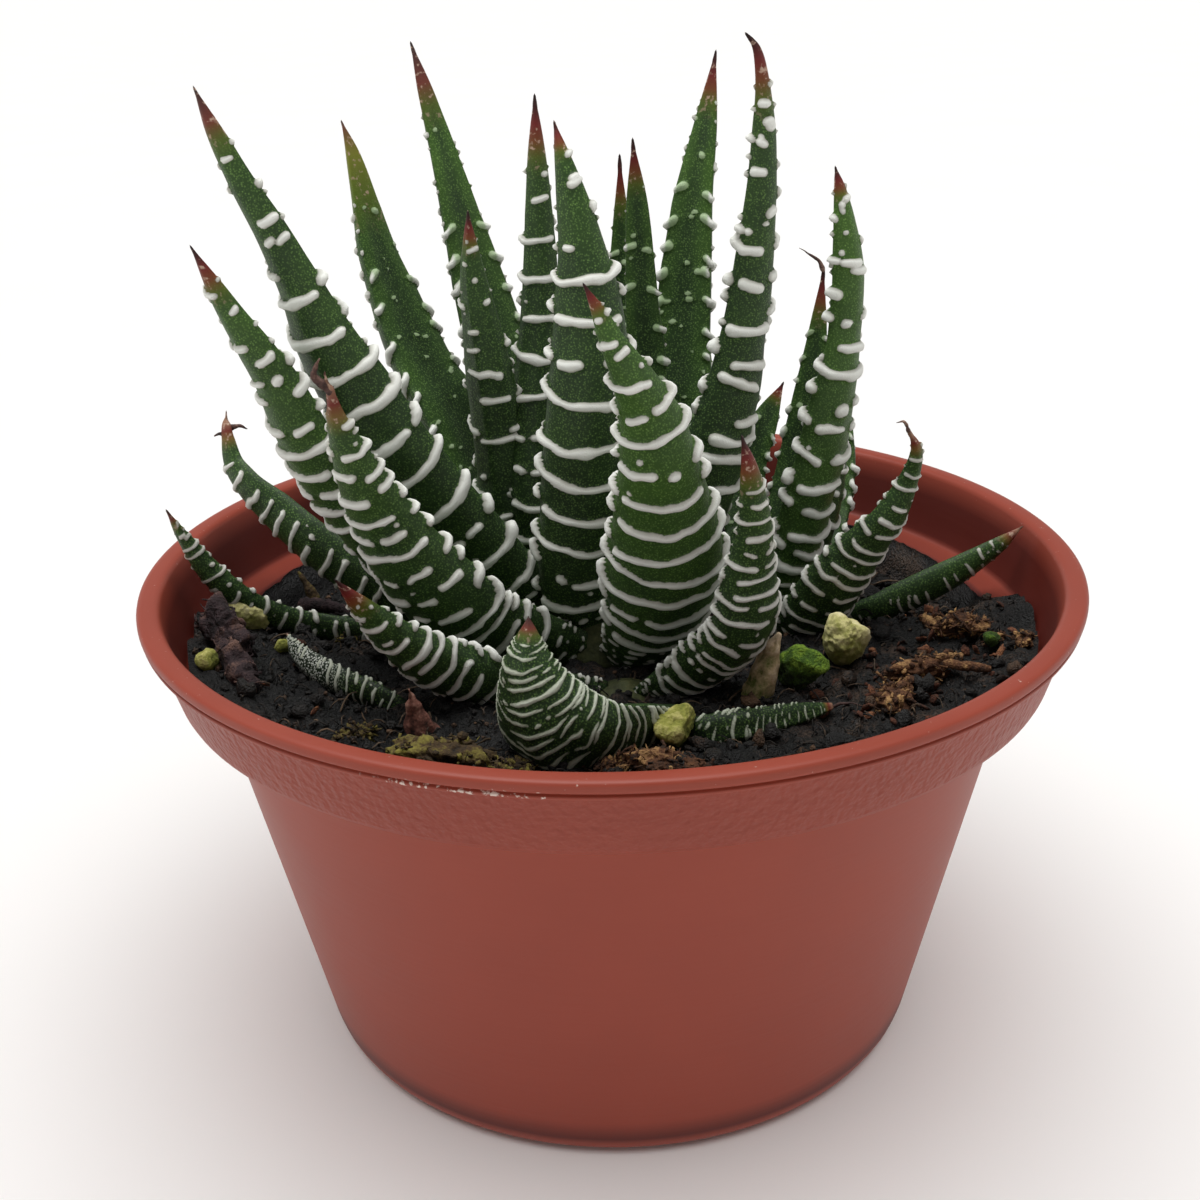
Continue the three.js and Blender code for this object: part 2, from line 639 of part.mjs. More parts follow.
// Faces of a tube of rings that is closed by a root point and a tip point after its rings.
function tubeFaces(rings, around) {
  const faces = [];
  const root = rings * around;
  const tip = root + 1;
  for (let step = 0; step < around; step++) {
    const next = (step + 1) % around;
    faces.push([root, next, step]);
    for (let ring = 0; ring < rings - 1; ring++) {
      const [low, high] = [ring * around, (ring + 1) * around];
      faces.push([low + step, low + next, high + next], [low + step, high + next, high + step]);
    }
    const last = (rings - 1) * around;
    faces.push([last + step, last + next, tip]);
  }
  return faces;
}

// A dried stub: a thin, slightly folded blade from its foot to its tip.
function buildStub(stub, margin = 0) {
  const foot = new THREE.Vector3(...stub.foot);
  const tip = new THREE.Vector3(...stub.tip);
  const tangent = tip.clone().sub(foot).normalize();
  const side = tangent.clone().cross(UP).normalize();
  const normal = side.clone().cross(tangent);
  const points = [];
  for (let ring = 0; ring < STUB.rings; ring++) {
    const share = ring / STUB.rings;
    const half = (stub.width / 2) * (1 - STUB.taper * share * share) + margin;
    const centre = foot.clone().lerp(tip, share);
    for (let step = 0; step < STUB.sides; step++) {
      const angle = (step / STUB.sides) * 2 * Math.PI;
      const point = centre.clone();
      point.addScaledVector(side, half * Math.cos(angle));
      point.addScaledVector(normal, (STUB.thickness * half + 0.5 * margin) * Math.sin(angle));
      points.push(point.toArray());
    }
  }
  points.push(foot.clone().addScaledVector(tangent, -margin).toArray());
  points.push(tip.clone().addScaledVector(tangent, 2 * margin).toArray());
  return solidFrom(points, tubeFaces(STUB.rings, STUB.sides));
}

// A rough lump: a ball with each corner moved in or out by a seeded draw.
function buildBit(bit, seed, margin = 0) {
  const draw = randomFrom(seed);
  const ball = mergeVertices(bareBall());
  const position = ball.attributes.position;
  for (let i = 0; i < position.count; i++) {
    const reach = 1 + bit.rough * (2 * draw() - 1);
    for (const axis of [0, 1, 2]) {
      const grown = position.getComponent(i, axis) * (reach * bit.half[axis] + margin);
      position.setComponent(i, axis, grown);
    }
  }
  ball.rotateX(THREE.MathUtils.degToRad(bit.lean));
  ball.rotateZ(THREE.MathUtils.degToRad(bit.turn));
  ball.translate(...bit.at);
  return solidOf(ball);
}

function bareBall() {
  const ball = new THREE.IcosahedronGeometry(1, 1);
  ball.deleteAttribute("normal");
  ball.deleteAttribute("uv");
  return ball;
}

// Every piece is cut back to a small gap where it would cross a piece placed before it.
const group = new THREE.Group();
const place = (name, solid, material) => group.add(meshOf(name, solid, material));

place("pot", buildPot(), MATERIALS.pot);

const cutters = [];
for (const crown of CROWNS) {
  place(crown.name, cutBy(buildCrown(crown), cutters), MATERIALS.stem);
  cutters.push(buildCrown(crown, CLEARANCE));
}
for (const leaf of LEAVES) {
  place(leaf.name, cutBy(buildLeaf(leaf, bandedRings(leaf.bands)), cutters), MATERIALS.leaf);
  cutters.push(buildLeaf(leaf, evenRings(LEAF.cutterRings), LEAF.bandHeight + CLEARANCE));
}
for (const stub of STUBS) {
  place(stub.name, cutBy(buildStub(stub), cutters), MATERIALS.stub);
  cutters.push(buildStub(stub, CLEARANCE));
}
BITS.forEach((bit, i) => {
  place(bit.name, cutBy(buildBit(bit, SEED + i), cutters), MATERIALS[bit.kind]);
  cutters.push(buildBit(bit, SEED + i, CLEARANCE));
});
place("soil", cutBy(buildSoil(), cutters), MATERIALS.soil);

export default group;
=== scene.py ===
"""Potted haworthia: the visible pieces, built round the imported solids.

Sizes are in millimetres in this file and in metres on the meshes. The row's frame has +Z up and
its origin at the centre of the pot's foot, and the plant is looked at from -Y.
"""

import itertools
import logging
import math
from dataclasses import dataclass
from enum import Enum

import bmesh
import bpy
import numpy as np
from mathutils import Matrix, Vector

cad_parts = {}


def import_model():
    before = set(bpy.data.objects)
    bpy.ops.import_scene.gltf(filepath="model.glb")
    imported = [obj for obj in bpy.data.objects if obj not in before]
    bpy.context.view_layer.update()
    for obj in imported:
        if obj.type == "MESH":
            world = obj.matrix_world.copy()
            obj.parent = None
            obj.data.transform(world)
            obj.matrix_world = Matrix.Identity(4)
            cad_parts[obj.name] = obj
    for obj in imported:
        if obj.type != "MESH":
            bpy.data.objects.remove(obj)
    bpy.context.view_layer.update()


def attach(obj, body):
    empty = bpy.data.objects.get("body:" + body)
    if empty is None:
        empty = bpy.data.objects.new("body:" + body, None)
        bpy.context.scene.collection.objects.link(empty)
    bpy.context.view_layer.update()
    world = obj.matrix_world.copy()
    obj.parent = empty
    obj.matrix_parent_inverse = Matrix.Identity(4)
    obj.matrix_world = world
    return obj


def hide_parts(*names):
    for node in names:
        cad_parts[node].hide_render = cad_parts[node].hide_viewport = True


LOG = logging.getLogger("potted_haworthia")
MM = 0.001
BODY = "root"
SEED = 4177

# Large numbers that scatter the noise's lattice corners and its seed over 32 bits.
LATTICE_PRIMES = (73856093, 19349663, 83492791)
SEED_PRIME = 2654435761
STIR_PRIME = 1274126177
LOW_32_BITS = 0xFFFFFFFF

Colour = tuple[float, float, float, float]
Point = tuple[float, float, float]
Array = np.ndarray
Draw = np.random.Generator
Body = tuple[Array, list[Array]]
Wart = tuple[float, float, float, float, float, float]
Hollow = tuple[float, float, float, float, float]
Softbox = tuple[str, Point, tuple[float, float], float]


def linear(code: str, alpha: float = 1.0) -> Colour:
    """Turn an sRGB hex colour into linear values.

    Args:
        code: six hex digits after a hash sign.
        alpha: the fourth value.

    Returns:
        Red, green, blue and alpha from 0 to 1.
    """
    parts = [int(code[i : i + 2], 16) / 255 for i in (1, 3, 5)]
    red, green, blue = (v / 12.92 if v <= 0.04045 else ((v + 0.055) / 1.055) ** 2.4 for v in parts)
    return (red, green, blue, alpha)


def per_mm(size: float) -> float:
    """Give the texture scale, in metre coordinates, of a pattern with cells of a size in mm."""
    return 1.0 / (size * MM)


def smoothstep(low: float, high: float, value: Array) -> Array:
    """Rise smoothly from 0 at low to 1 at high."""
    share = np.clip((value - low) / (high - low), 0.0, 1.0)
    return share * share * (3.0 - 2.0 * share)


def value_noise(points: Array, cell: float, seed: int) -> Array:
    """Smooth noise from one seeded value per corner of a cubic lattice.

    Args:
        points: rows of x, y and z.
        cell: the lattice spacing in the same unit.
        seed: picks the field.

    Returns:
        One value from -1 to 1 for each row.
    """
    place = points / cell
    low = np.floor(place).astype(np.int64)
    part = place - low
    part = part * part * (3.0 - 2.0 * part)
    total = np.zeros(len(points))
    for corner in itertools.product((0, 1), repeat=3):
        x, y, z = ((low + corner) * LATTICE_PRIMES).T
        state = (x ^ y ^ z ^ (seed * SEED_PRIME)) & LOW_32_BITS
        state = (state ^ (state >> 13)) * STIR_PRIME & LOW_32_BITS
        value = ((state ^ (state >> 16)) & 0xFFFF) / 32767.5 - 1.0
        total += value * np.prod(np.where(np.array(corner) == 1, part, 1.0 - part), axis=1)
    return total


def catmull(points: Array, shares: Array) -> Array:
    """Evaluate the smooth curve through some points.

    Args:
        points: the rows to pass through, of any width.
        shares: where to evaluate, from 0 at the first row to 1 at the last.

    Returns:
        One row per share.
    """
    whole = np.vstack([2 * points[0] - points[1], points, 2 * points[-1] - points[-2]])
    spans = len(points) - 1
    place = np.clip(shares * spans, 0.0, spans - 1e-9)
    index = place.astype(int)
    t = (place - index)[:, None]
    a, b, c, d = (whole[index + k] for k in range(4))
    start, end = (c - a) / 2, (d - b) / 2
    cubic = 2 * b - 2 * c + start + end
    square = -3 * b + 3 * c - 2 * start - end
    return cubic * t**3 + square * t**2 + start * t + b


def unit(rows: Array) -> Array:
    """Scale vectors to length 1."""
    return rows / np.maximum(np.linalg.norm(rows, axis=-1, keepdims=True), 1e-12)


def full_turn(count: int) -> Array:
    """Give evenly spaced angles round a circle."""
    return np.arange(count) * 2 * math.pi / count


def closed_tube(rings: int, around: int) -> list[Array]:
    """List the faces of a tube of rings, closed onto two centre points that follow the rings.

    Args:
        rings: how many rings the point list starts with.
        around: the points on each ring.

    Returns:
        The quads of the wall and the triangles of both ends.
    """
    low = np.arange(rings - 1)[:, None] * around
    step = np.arange(around)
    after = (step + 1) % around
    wall = [low + step, low + after, low + around + after, low + around + step]
    last, first_centre = (rings - 1) * around, np.full(around, rings * around)
    ends = np.vstack(
        [
            np.column_stack([after, step, first_centre]),
            np.column_stack([last + step, last + after, first_centre + 1]),
        ]
    )
    return [np.stack(wall, axis=-1).reshape(-1, 4), ends]


def strand(line: Array, radius: Array, sides: int) -> Body:
    """Make a thin closed tube along a line.

    Args:
        line: rows of x, y and z.
        radius: the tube's radius at each row.
        sides: the corners of its section.

    Returns:
        Its points and faces.
    """
    ahead = unit(np.gradient(line, axis=0))
    side = unit(np.cross(ahead, (0.31, 0.17, 1.0)))
    normal = np.cross(side, ahead)
    turn = full_turn(sides)[:, None]
    ring = side[:, None] * np.cos(turn) + normal[:, None] * np.sin(turn)
    points = (line[:, None] + radius[:, None, None] * ring).reshape(-1, 3)
    return np.vstack([points, line[:1], line[-1:]]), closed_tube(len(line), sides)


def gather(bodies: list[Body]) -> Body:
    """Join bodies into one.

    Args:
        bodies: the points and faces of each.

    Returns:
        One point list, and one array of faces for each number of corners.
    """
    points, groups, first = [], {}, 0
    for body, faces in bodies:
        points.append(body)
        for group in faces:
            groups.setdefault(group.shape[1], []).append(group + first)
        first += len(body)
    return np.vstack(points), [np.vstack(group) for group in groups.values()]


def signed_volume(points: Array, faces: list[Array]) -> float:
    """Measure a closed mesh's volume.

    Args:
        points: its points.
        faces: its faces.

    Returns:
        The volume, which is negative when the faces look inward.
    """
    total = 0.0
    for group in faces:
        for k in range(1, group.shape[1] - 1):
            a, b, c = (points[group[:, i]] for i in (0, k, k + 1))
            total += float(np.einsum("ij,ij->i", a, np.cross(b, c)).sum()) / 6.0
    return total


def put_in_scene(item: bpy.types.Object) -> None:
    """Link an object to the scene."""
    bpy.context.scene.collection.objects.link(item)


def make_piece(name: str, body: Body, values: dict[str, Array] | None = None) -> bpy.types.Object:
    """Make a smooth-shaded mesh object.

    Args:
        name: the piece's name.
        body: its points in mm and its faces.
        values: one number per point under each attribute name.

    Returns:
        The new object, linked to the scene.
    """
    points, faces = body
    if signed_volume(points, faces) < 0:
        faces = [group[:, ::-1] for group in faces]
    corners = np.concatenate([group.ravel() for group in faces]).astype(np.int32)
    sizes = np.concatenate([np.full(len(group), group.shape[1]) for group in faces])
    starts = np.concatenate([[0], np.cumsum(sizes)[:-1]]).astype(np.int32)
    mesh = bpy.data.meshes.new(name)
    mesh.vertices.add(len(points))
    mesh.vertices.foreach_set("co", (points * MM).astype(np.float32).ravel())
    mesh.loops.add(len(corners))
    mesh.loops.foreach_set("vertex_index", corners)
    mesh.polygons.add(len(sizes))
    mesh.polygons.foreach_set("loop_start", starts)
    mesh.polygons.foreach_set("use_smooth", np.ones(len(sizes), dtype=bool))
    write_values(mesh, values or {})
    mesh.update(calc_edges=True)
    piece = bpy.data.objects.new(name, mesh)
    put_in_scene(piece)
    return piece


def write_values(mesh: bpy.types.Mesh, values: dict[str, Array]) -> None:
    """Write point attributes.

    Args:
        mesh: the mesh to write to.
        values: one number per point under each attribute name.
    """
    for key, value in values.items():
        attribute = mesh.attributes.new(key, "FLOAT", "POINT")
        attribute.data.foreach_set("value", value.astype(np.float32))


def settle(piece: bpy.types.Object, finish: bpy.types.Material, slot: str, *nodes: str) -> None:
    """Dress a piece and let it ride on the body.

    Args:
        piece: the piece.
        finish: its material.
        slot: its slot's name; it is not used.
        nodes: the solids that it stands for.
    """
    piece.data.materials.clear()
    piece.data.materials.append(finish)
    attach(piece, BODY)
    if nodes:
        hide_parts(*nodes)
    triangles = sum(len(face.vertices) - 2 for face in piece.data.polygons)
    LOG.info("%s: %d triangles", piece.name, triangles)


def ball(level: int) -> tuple[Array, Array]:
    """Make an even ball of radius 1.

    Args:
        level: how fine it is.

    Returns:
        Its points and triangles.
    """
    form = bmesh.new()
    bmesh.ops.create_icosphere(form, subdivisions=level, radius=1.0)
    points = np.array([v.co[:] for v in form.verts])
    faces = np.array([[v.index for v in f.verts] for f in form.faces])
    form.free()
    return points, faces


def feed(tree: bpy.types.NodeTree, node: bpy.types.Node, inputs: dict[str | int, object]) -> None:
    """Fill a node's inputs.

    Args:
        tree: the material's node tree.
        node: the node to fill.
        inputs: a plain value, an output socket, or a node that gives its first output in use.
    """
    for key, source in inputs.items():
        if isinstance(source, bpy.types.Node):
            source = next(socket for socket in source.outputs if socket.enabled)
        if isinstance(source, bpy.types.NodeSocket):
            tree.links.new(source, node.inputs[key])
        else:
            node.inputs[key].default_value = source


def add_node(
    tree: bpy.types.NodeTree, kind: str, settings: dict[str | int, object] | None = None
) -> bpy.types.Node:
    """Add one shader node.

    Args:
        tree: the material's node tree.
        kind: the node's type after "ShaderNode".
        settings: properties of the node and what feeds its inputs; "stops" fills a colour ramp.

    Returns:
        The new node.
    """
    made = tree.nodes.new("ShaderNode" + kind)
    for key, value in (settings or {}).items():
        if key == "stops":
            elements = made.color_ramp.elements
            while len(elements) < len(value):
                elements.new(1.0)
            for element, (position, colour) in zip(elements, value):
                element.position = position
                element.color = colour
        elif isinstance(key, str) and hasattr(made, key):
            setattr(made, key, value)
        else:
            feed(tree, made, {key: value})
    return made


def new_tree(name: str) -> tuple[bpy.types.Material, bpy.types.NodeTree, bpy.types.Node]:
    """Start a material.

    Args:
        name: its name.

    Returns:
        The material, its node tree and its shader.
    """
    material = bpy.data.materials.new(name)
    material.use_nodes = True
    tree = material.node_tree
    return material, tree, tree.nodes["Principled BSDF"]


@dataclass(frozen=True)
class PotPlastic:
    """Injection-moulded polypropylene, coloured through: a satin skin that is pebbled on the skirt."""

    body: Colour = linear("#8a3a2a")
    warm: Colour = linear("#964231")
    dust: Colour = linear("#d8c4b8")
    # The dark red of the painted shade that darkens the inside of the pot and the skirt.
    shade_colour: Colour = linear("#571d16")
    roughness: float = 0.42
    pebble: float = 1.0
    pebble_depth: float = 0.42
    mottle: float = 14.0
    line: float = 0.7
    line_depth: float = 0.02
    speck: float = 0.55

    def material(self) -> bpy.types.Material:
        """Build the plastic: pebbles on the skirt, faint moulding lines, painted shade inside the pot and on
        the skirt, and some dust.

        Returns:
            The material.
        """
        material, tree, shader = new_tree("pot_polypropylene")
        place = add_node(tree, "TexCoord").outputs["Object"]
        skirt, soiled, damp = (
            add_node(tree, "Attribute", {"attribute_name": key}).outputs["Fac"]
            for key in ("skirt", "soiled", "damp")
        )
        mottle = add_node(tree, "TexNoise", {"Scale": per_mm(self.mottle), "Detail": 3.0, "Vector": place})
        tone = add_node(tree, "Mix", {"data_type": "RGBA", 0: mottle, 6: self.body, 7: self.warm})
        # Painted shade: the colour is mixed towards that dark red by the painted shade mark, inside the pot
        # and on the skirt.
        inner = add_node(tree, "Mix", {"data_type": "RGBA", 0: damp, 6: tone, 7: self.shade_colour})
        speck = add_node(tree, "TexNoise", {"Scale": per_mm(self.speck), "Detail": 2.0, "Vector": place})
        spotted = add_node(tree, "Math", {"operation": "MULTIPLY", 0: speck, 1: soiled})
        dusty = add_node(tree, "MapRange", {"From Min": 0.5, "From Max": 0.6, "Value": spotted})
        colour = add_node(tree, "Mix", {"data_type": "RGBA", 0: dusty, 6: inner, 7: self.dust})
        pebble = add_node(tree, "TexNoise", {"Scale": per_mm(self.pebble), "Detail": 1.5, "Vector": place})
        flat = add_node(tree, "Mapping", {"Scale": (0.06, 0.06, 1.0), "Vector": place})
        lines = add_node(tree, "TexNoise", {"Scale": per_mm(self.line), "Detail": 2.0, "Vector": flat})
        grain = add_node(tree, "Mix", {"data_type": "FLOAT", 0: skirt, 2: lines, 3: pebble})
        depths = {"To Min": self.line_depth * MM, "To Max": self.pebble_depth * MM}
        depth = add_node(tree, "MapRange", depths | {"Value": skirt})
        height = add_node(tree, "Math", {"operation": "MULTIPLY", 0: grain, 1: depth})
        bump = add_node(tree, "Bump", {"Distance": 1.0, "Height": height})
        gloss = {"To Min": self.roughness, "To Max": self.roughness + 0.12}
        rough = add_node(tree, "MapRange", gloss | {"Value": mottle})
        feed(tree, shader, {"Base Color": colour, "Roughness": rough, "Normal": bump})
        feed(tree, shader, {"IOR": 1.49, "Specular IOR Level": 0.32})
        return material


class Tip(Enum):
    """How the end of a leaf is coloured, from where its green ends to the point."""

    RED = (
        (0.0, linear("#44561c", 0.0)),
        (0.25, linear("#565f1c", 0.7)),
        (0.45, linear("#6f4022")),
        (0.64, linear("#6c2420")),
        (0.84, linear("#3d1a18")),
        (1.0, linear("#171110")),
    )
    BROWN = (
        (0.0, linear("#4f6122", 0.0)),
        (0.3, linear("#55601f", 0.7)),
        (0.55, linear("#70382c")),
        (0.75, linear("#58302a")),
        (1.0, linear("#332b29")),
    )
    GOLD = (
        (0.0, linear("#566b22", 0.0)),
        (0.35, linear("#5f6f20", 0.7)),
        (0.7, linear("#74762a")),
        (0.92, linear("#6d4430")),
        (1.0, linear("#4c403c")),
    )
    DRY = (
        (0.0, linear("#5f6a26", 0.0)),
        (0.3, linear("#7a5a2c", 0.8)),
        (0.5, linear("#6f2c24")),
        (0.75, linear("#94705a")),
        (1.0, linear("#4c332c")),
    )


@dataclass(frozen=True)
class LeafSkin:
    """Living succulent skin: a waxy green cuticle of fine bead-like cells, with chalky warts.

    The real beads are about 0.15 mm wide; they are drawn twice as coarse, so that they show.
    """

    tip: Tip
    shade: Colour = linear("#152212")
    deep: Colour = linear("#283d1f")
    bright: Colour = linear("#456626")
    bead: Colour = linear("#5d793c")
    wart: Colour = linear("#e6e7e0")
    wart_low: Colour = linear("#adaca0")
    tubercle: Colour = linear("#8fac76")
    husk: Colour = linear("#b79a86")
    roughness: float = 0.48
    wart_roughness: float = 0.62
    cell: float = 0.27
    cell_depth: float = 0.03
    cloud: float = 6.0
    flake: float = 0.7

    def material(self) -> bpy.types.Material:
        """Build the skin from the leaf's own marks: warts, chalk, tip share, freshness and frost.

        Returns:
            The material.
        """
        material, tree, shader = new_tree("leaf_skin_" + self.tip.name.lower())
        place = add_node(tree, "TexCoord").outputs["Object"]
        wart, chalk, tip, fresh, frost = (
            add_node(tree, "Attribute", {"attribute_name": key}).outputs["Fac"]
            for key in ("wart", "chalk", "tip", "fresh", "frost")
        )
        cloud = add_node(tree, "TexNoise", {"Scale": per_mm(self.cloud), "Detail": 4.0, "Vector": place})
        flake = add_node(tree, "TexNoise", {"Scale": per_mm(self.flake), "Detail": 2.0, "Vector": place})
        lift = add_node(tree, "Math", {"operation": "MULTIPLY_ADD", 0: cloud, 1: 0.5, 2: fresh})
        share = add_node(tree, "Math", {"operation": "SUBTRACT", 0: lift, 1: 0.25})
        greens = ((0.0, self.shade), (0.4, self.deep), (1.0, self.bright))
        green = add_node(tree, "ValToRGB", {"stops": greens, "Fac": share})
        cells = add_node(tree, "TexVoronoi", {"Scale": per_mm(self.cell), "Vector": place})
        spot = add_node(tree, "MapRange", {"From Min": 0.55, "From Max": 0.15, "Value": cells})
        lit = add_node(tree, "Math", {"operation": "MULTIPLY", 0: spot, 1: cells.outputs["Color"]})
        glow = {"data_type": "RGBA", "blend_type": "ADD", 7: self.bead}
        beaded = add_node(tree, "Mix", glow | {0: lit, 6: green})
        ramp = add_node(tree, "ValToRGB", {"stops": self.tip.value, "Fac": tip})
        ripeness = ramp.outputs["Alpha"]
        ripe = add_node(tree, "Mix", {"data_type": "RGBA", 0: ripeness, 6: beaded, 7: ramp})
        dried = add_node(tree, "MapRange", {"From Min": 0.58, "From Max": 0.7, "Value": flake})
        husk = add_node(tree, "Math", {"operation": "MULTIPLY", 0: dried, 1: ripeness})
        weathered = add_node(tree, "Mix", {"data_type": "RGBA", 0: husk, 6: ripe, 7: self.husk})
        points = add_node(tree, "Math", {"operation": "MULTIPLY", 0: spot, 1: frost})
        frosted = add_node(tree, "Mix", {"data_type": "RGBA", 0: points, 6: weathered, 7: self.wart})
        fray = add_node(tree, "Math", {"operation": "MULTIPLY_ADD", 0: flake, 1: 0.1, 2: wart})
        soft_edge = {"interpolation_type": "SMOOTHSTEP", "From Min": 0.12, "From Max": 0.01}
        cover = add_node(tree, "MapRange", soft_edge | {"Value": fray})
        crest = add_node(tree, "MapRange", {"From Min": 0.02, "From Max": -0.28, "Value": wart})
        patchy = add_node(tree, "Math", {"operation": "MULTIPLY_ADD", 0: cloud, 1: 0.7, 2: -0.35})
        pale = add_node(tree, "Math", {"operation": "ADD", 0: crest, 1: patchy})
        white = add_node(tree, "Mix", {"data_type": "RGBA", 0: pale, 6: self.wart_low, 7: self.wart})
        marked = add_node(tree, "Mix", {"data_type": "RGBA", 0: chalk, 6: self.tubercle, 7: white})
        colour = add_node(tree, "Mix", {"data_type": "RGBA", 0: cover, 6: frosted, 7: marked})
        gloss = {"To Min": self.roughness, "To Max": self.wart_roughness}
        rough = add_node(tree, "MapRange", gloss | {"Value": cover})
        domes = {"From Min": 0.5, "From Max": 0.0, "To Max": self.cell_depth * MM}
        relief = add_node(tree, "MapRange", domes | {"Value": cells})
        bump = add_node(tree, "Bump", {"Distance": 1.0, "Height": relief})
        feed(tree, shader, {"Base Color": colour, "Roughness": rough, "Normal": bump})
        feed(tree, shader, {"IOR": 1.42, "Specular IOR Level": 0.3})
        return material


@dataclass(frozen=True)
class CrumblyMatter:
    """Loose natural stuff, such as moist peat, perlite, moss or bark: dull and mottled at two scales."""

    name: str
    dark: Colour
    middle: Colour
    light: Colour
    patch: float
    grit: float
    relief: float
    roughness: float = 0.9

    def material(self) -> bpy.types.Material:
        """Build the matter, which is lighter where the piece's own tint is higher.

        Returns:
            The material.
        """
        material, tree, shader = new_tree(self.name)
        place = add_node(tree, "TexCoord").outputs["Object"]
        tint = add_node(tree, "Attribute", {"attribute_name": "tint"}).outputs["Fac"]
        patch = add_node(tree, "TexNoise", {"Scale": per_mm(self.patch), "Detail": 4.0, "Vector": place})
        grit = add_node(tree, "TexNoise", {"Scale": per_mm(self.grit), "Detail": 3.0, "Vector": place})
        mixed = add_node(tree, "Math", {"operation": "MULTIPLY_ADD", 0: patch, 1: 0.9, 2: tint})
        varied = add_node(tree, "Math", {"operation": "MULTIPLY_ADD", 0: grit, 1: 0.7, 2: mixed})
        share = add_node(tree, "MapRange", {"From Min": 0.45, "From Max": 1.35, "Value": varied})
        tones = ((0.0, self.dark), (0.5, self.middle), (1.0, self.light))
        colour = add_node(tree, "ValToRGB", {"stops": tones, "Fac": share})
        bump = add_node(tree, "Bump", {"Distance": self.relief * MM, "Height": grit})
        feed(tree, shader, {"Base Color": colour, "Roughness": self.roughness, "Normal": bump, "IOR": 1.45})
        return material


def matter(name: str, dark: str, middle: str, light: str, *sizes: float) -> CrumblyMatter:
    """Name a crumbly matter by its three colours, then its patch, grit, relief and roughness."""
    return CrumblyMatter(name, linear(dark), linear(middle), linear(light), *sizes)


# Moist peat looks almost black, with a wet glint, and its loose crumbs and fibres dry browner.
PEAT = matter("moist_peat", "#040404", "#0d0c0b", "#5e4a3c", 5.0, 0.35, 0.9, 0.55)
PEAT_CRUMBS = matter("peat_crumbs", "#070605", "#191410", "#5c432e", 3.0, 0.3, 0.6, 0.6)
PEAT_FIBRE = matter("peat_fibre", "#0d0c0b", "#2b2622", "#6d5844", 4.0, 0.4, 0.05)
# Expanded perlite is a chalky, pitted grain, which algae tint green and then ochre.
GREEN_PERLITE = matter("perlite_with_algae", "#4a561a", "#949444", "#d6cd86", 2.2, 0.4, 0.3)
PALE_PERLITE = matter("pale_perlite", "#8f9046", "#cbc388", "#f0e6c6", 3.4, 0.5, 0.2)
# Cushion moss is a velvety lime green, and dull brown where it dries.
MOSS = matter("cushion_moss", "#172408", "#3f5c12", "#84a02e", 1.6, 0.3, 0.35)
DRY_MOSS = matter("dry_moss", "#120e09", "#46351c", "#837b34", 1.2, 0.35, 0.3)
# Shredded pine bark shows warm torn fibres, and is a cold dark brown where it is wet.
PINE_BARK = matter("pine_bark", "#180f0a", "#5c3a22", "#bd9560", 1.4, 0.3, 0.4)
RED_BARK = matter("bark_chips", "#1a0f0a", "#56301f", "#a8714a", 1.2, 0.3, 0.3)
DARK_BARK = matter("wet_bark", "#171213", "#3b2c2e", "#7a5c50", 1.6, 0.3, 0.5)
# A withered leaf is papery and straw-coloured, and red-brown where it was scorched.
DRY_LEAF = matter("withered_leaf", "#5c6426", "#b69f78", "#e6d0b4", 1.6, 0.35, 0.12, 0.75)
SCORCHED_LEAF = matter("scorched_leaf", "#2a1914", "#7d4f42", "#b48a78", 1.4, 0.35, 0.15, 0.8)
HUSK = matter("dried_leaf_end", "#2a1c1a", "#5c413a", "#a08270", 1.4, 0.3, 0.1, 0.8)
# The stem's skin is a dull olive, with the brown scars of shed leaves.
STEM_SKIN = matter("stem_skin", "#23260f", "#454a28", "#6e6c44", 3.0, 0.5, 0.2, 0.7)


def rounded_profile(corners: list[tuple[float, float, float]], steps: int, longest: float) -> Array:
    """Round the corners of a profile and split its long spans.

    Args:
        corners: radius, height and rounding of each corner.
        steps: points on each rounded corner, less one.
        longest: the longest span left.

    Returns:
        Rows of radius and height.
    """
    raw = np.array(corners)
    line = [raw[0, :2]]
    for before, here, after in zip(raw[:-2], raw[1:-1], raw[2:]):
        point = here[:2]
        ends = []
        for other in (before[:2], after[:2]):
            away = other - point
            span = np.linalg.norm(away)
            ends.append(point + away / span * min(here[2], 0.45 * span))
        for t in np.linspace(0.0, 1.0, steps + 1):
            line.append((1 - t) ** 2 * ends[0] + 2 * t * (1 - t) * point + t**2 * ends[1])
    line.append(raw[-1, :2])
    fine = [line[0]]
    for start, end in zip(line[:-1], line[1:]):
        count = max(1, math.ceil(np.linalg.norm(end - start) / longest))
        fine.extend(start + (end - start) * k / count for k in range(1, count + 1))
    return np.array(fine)


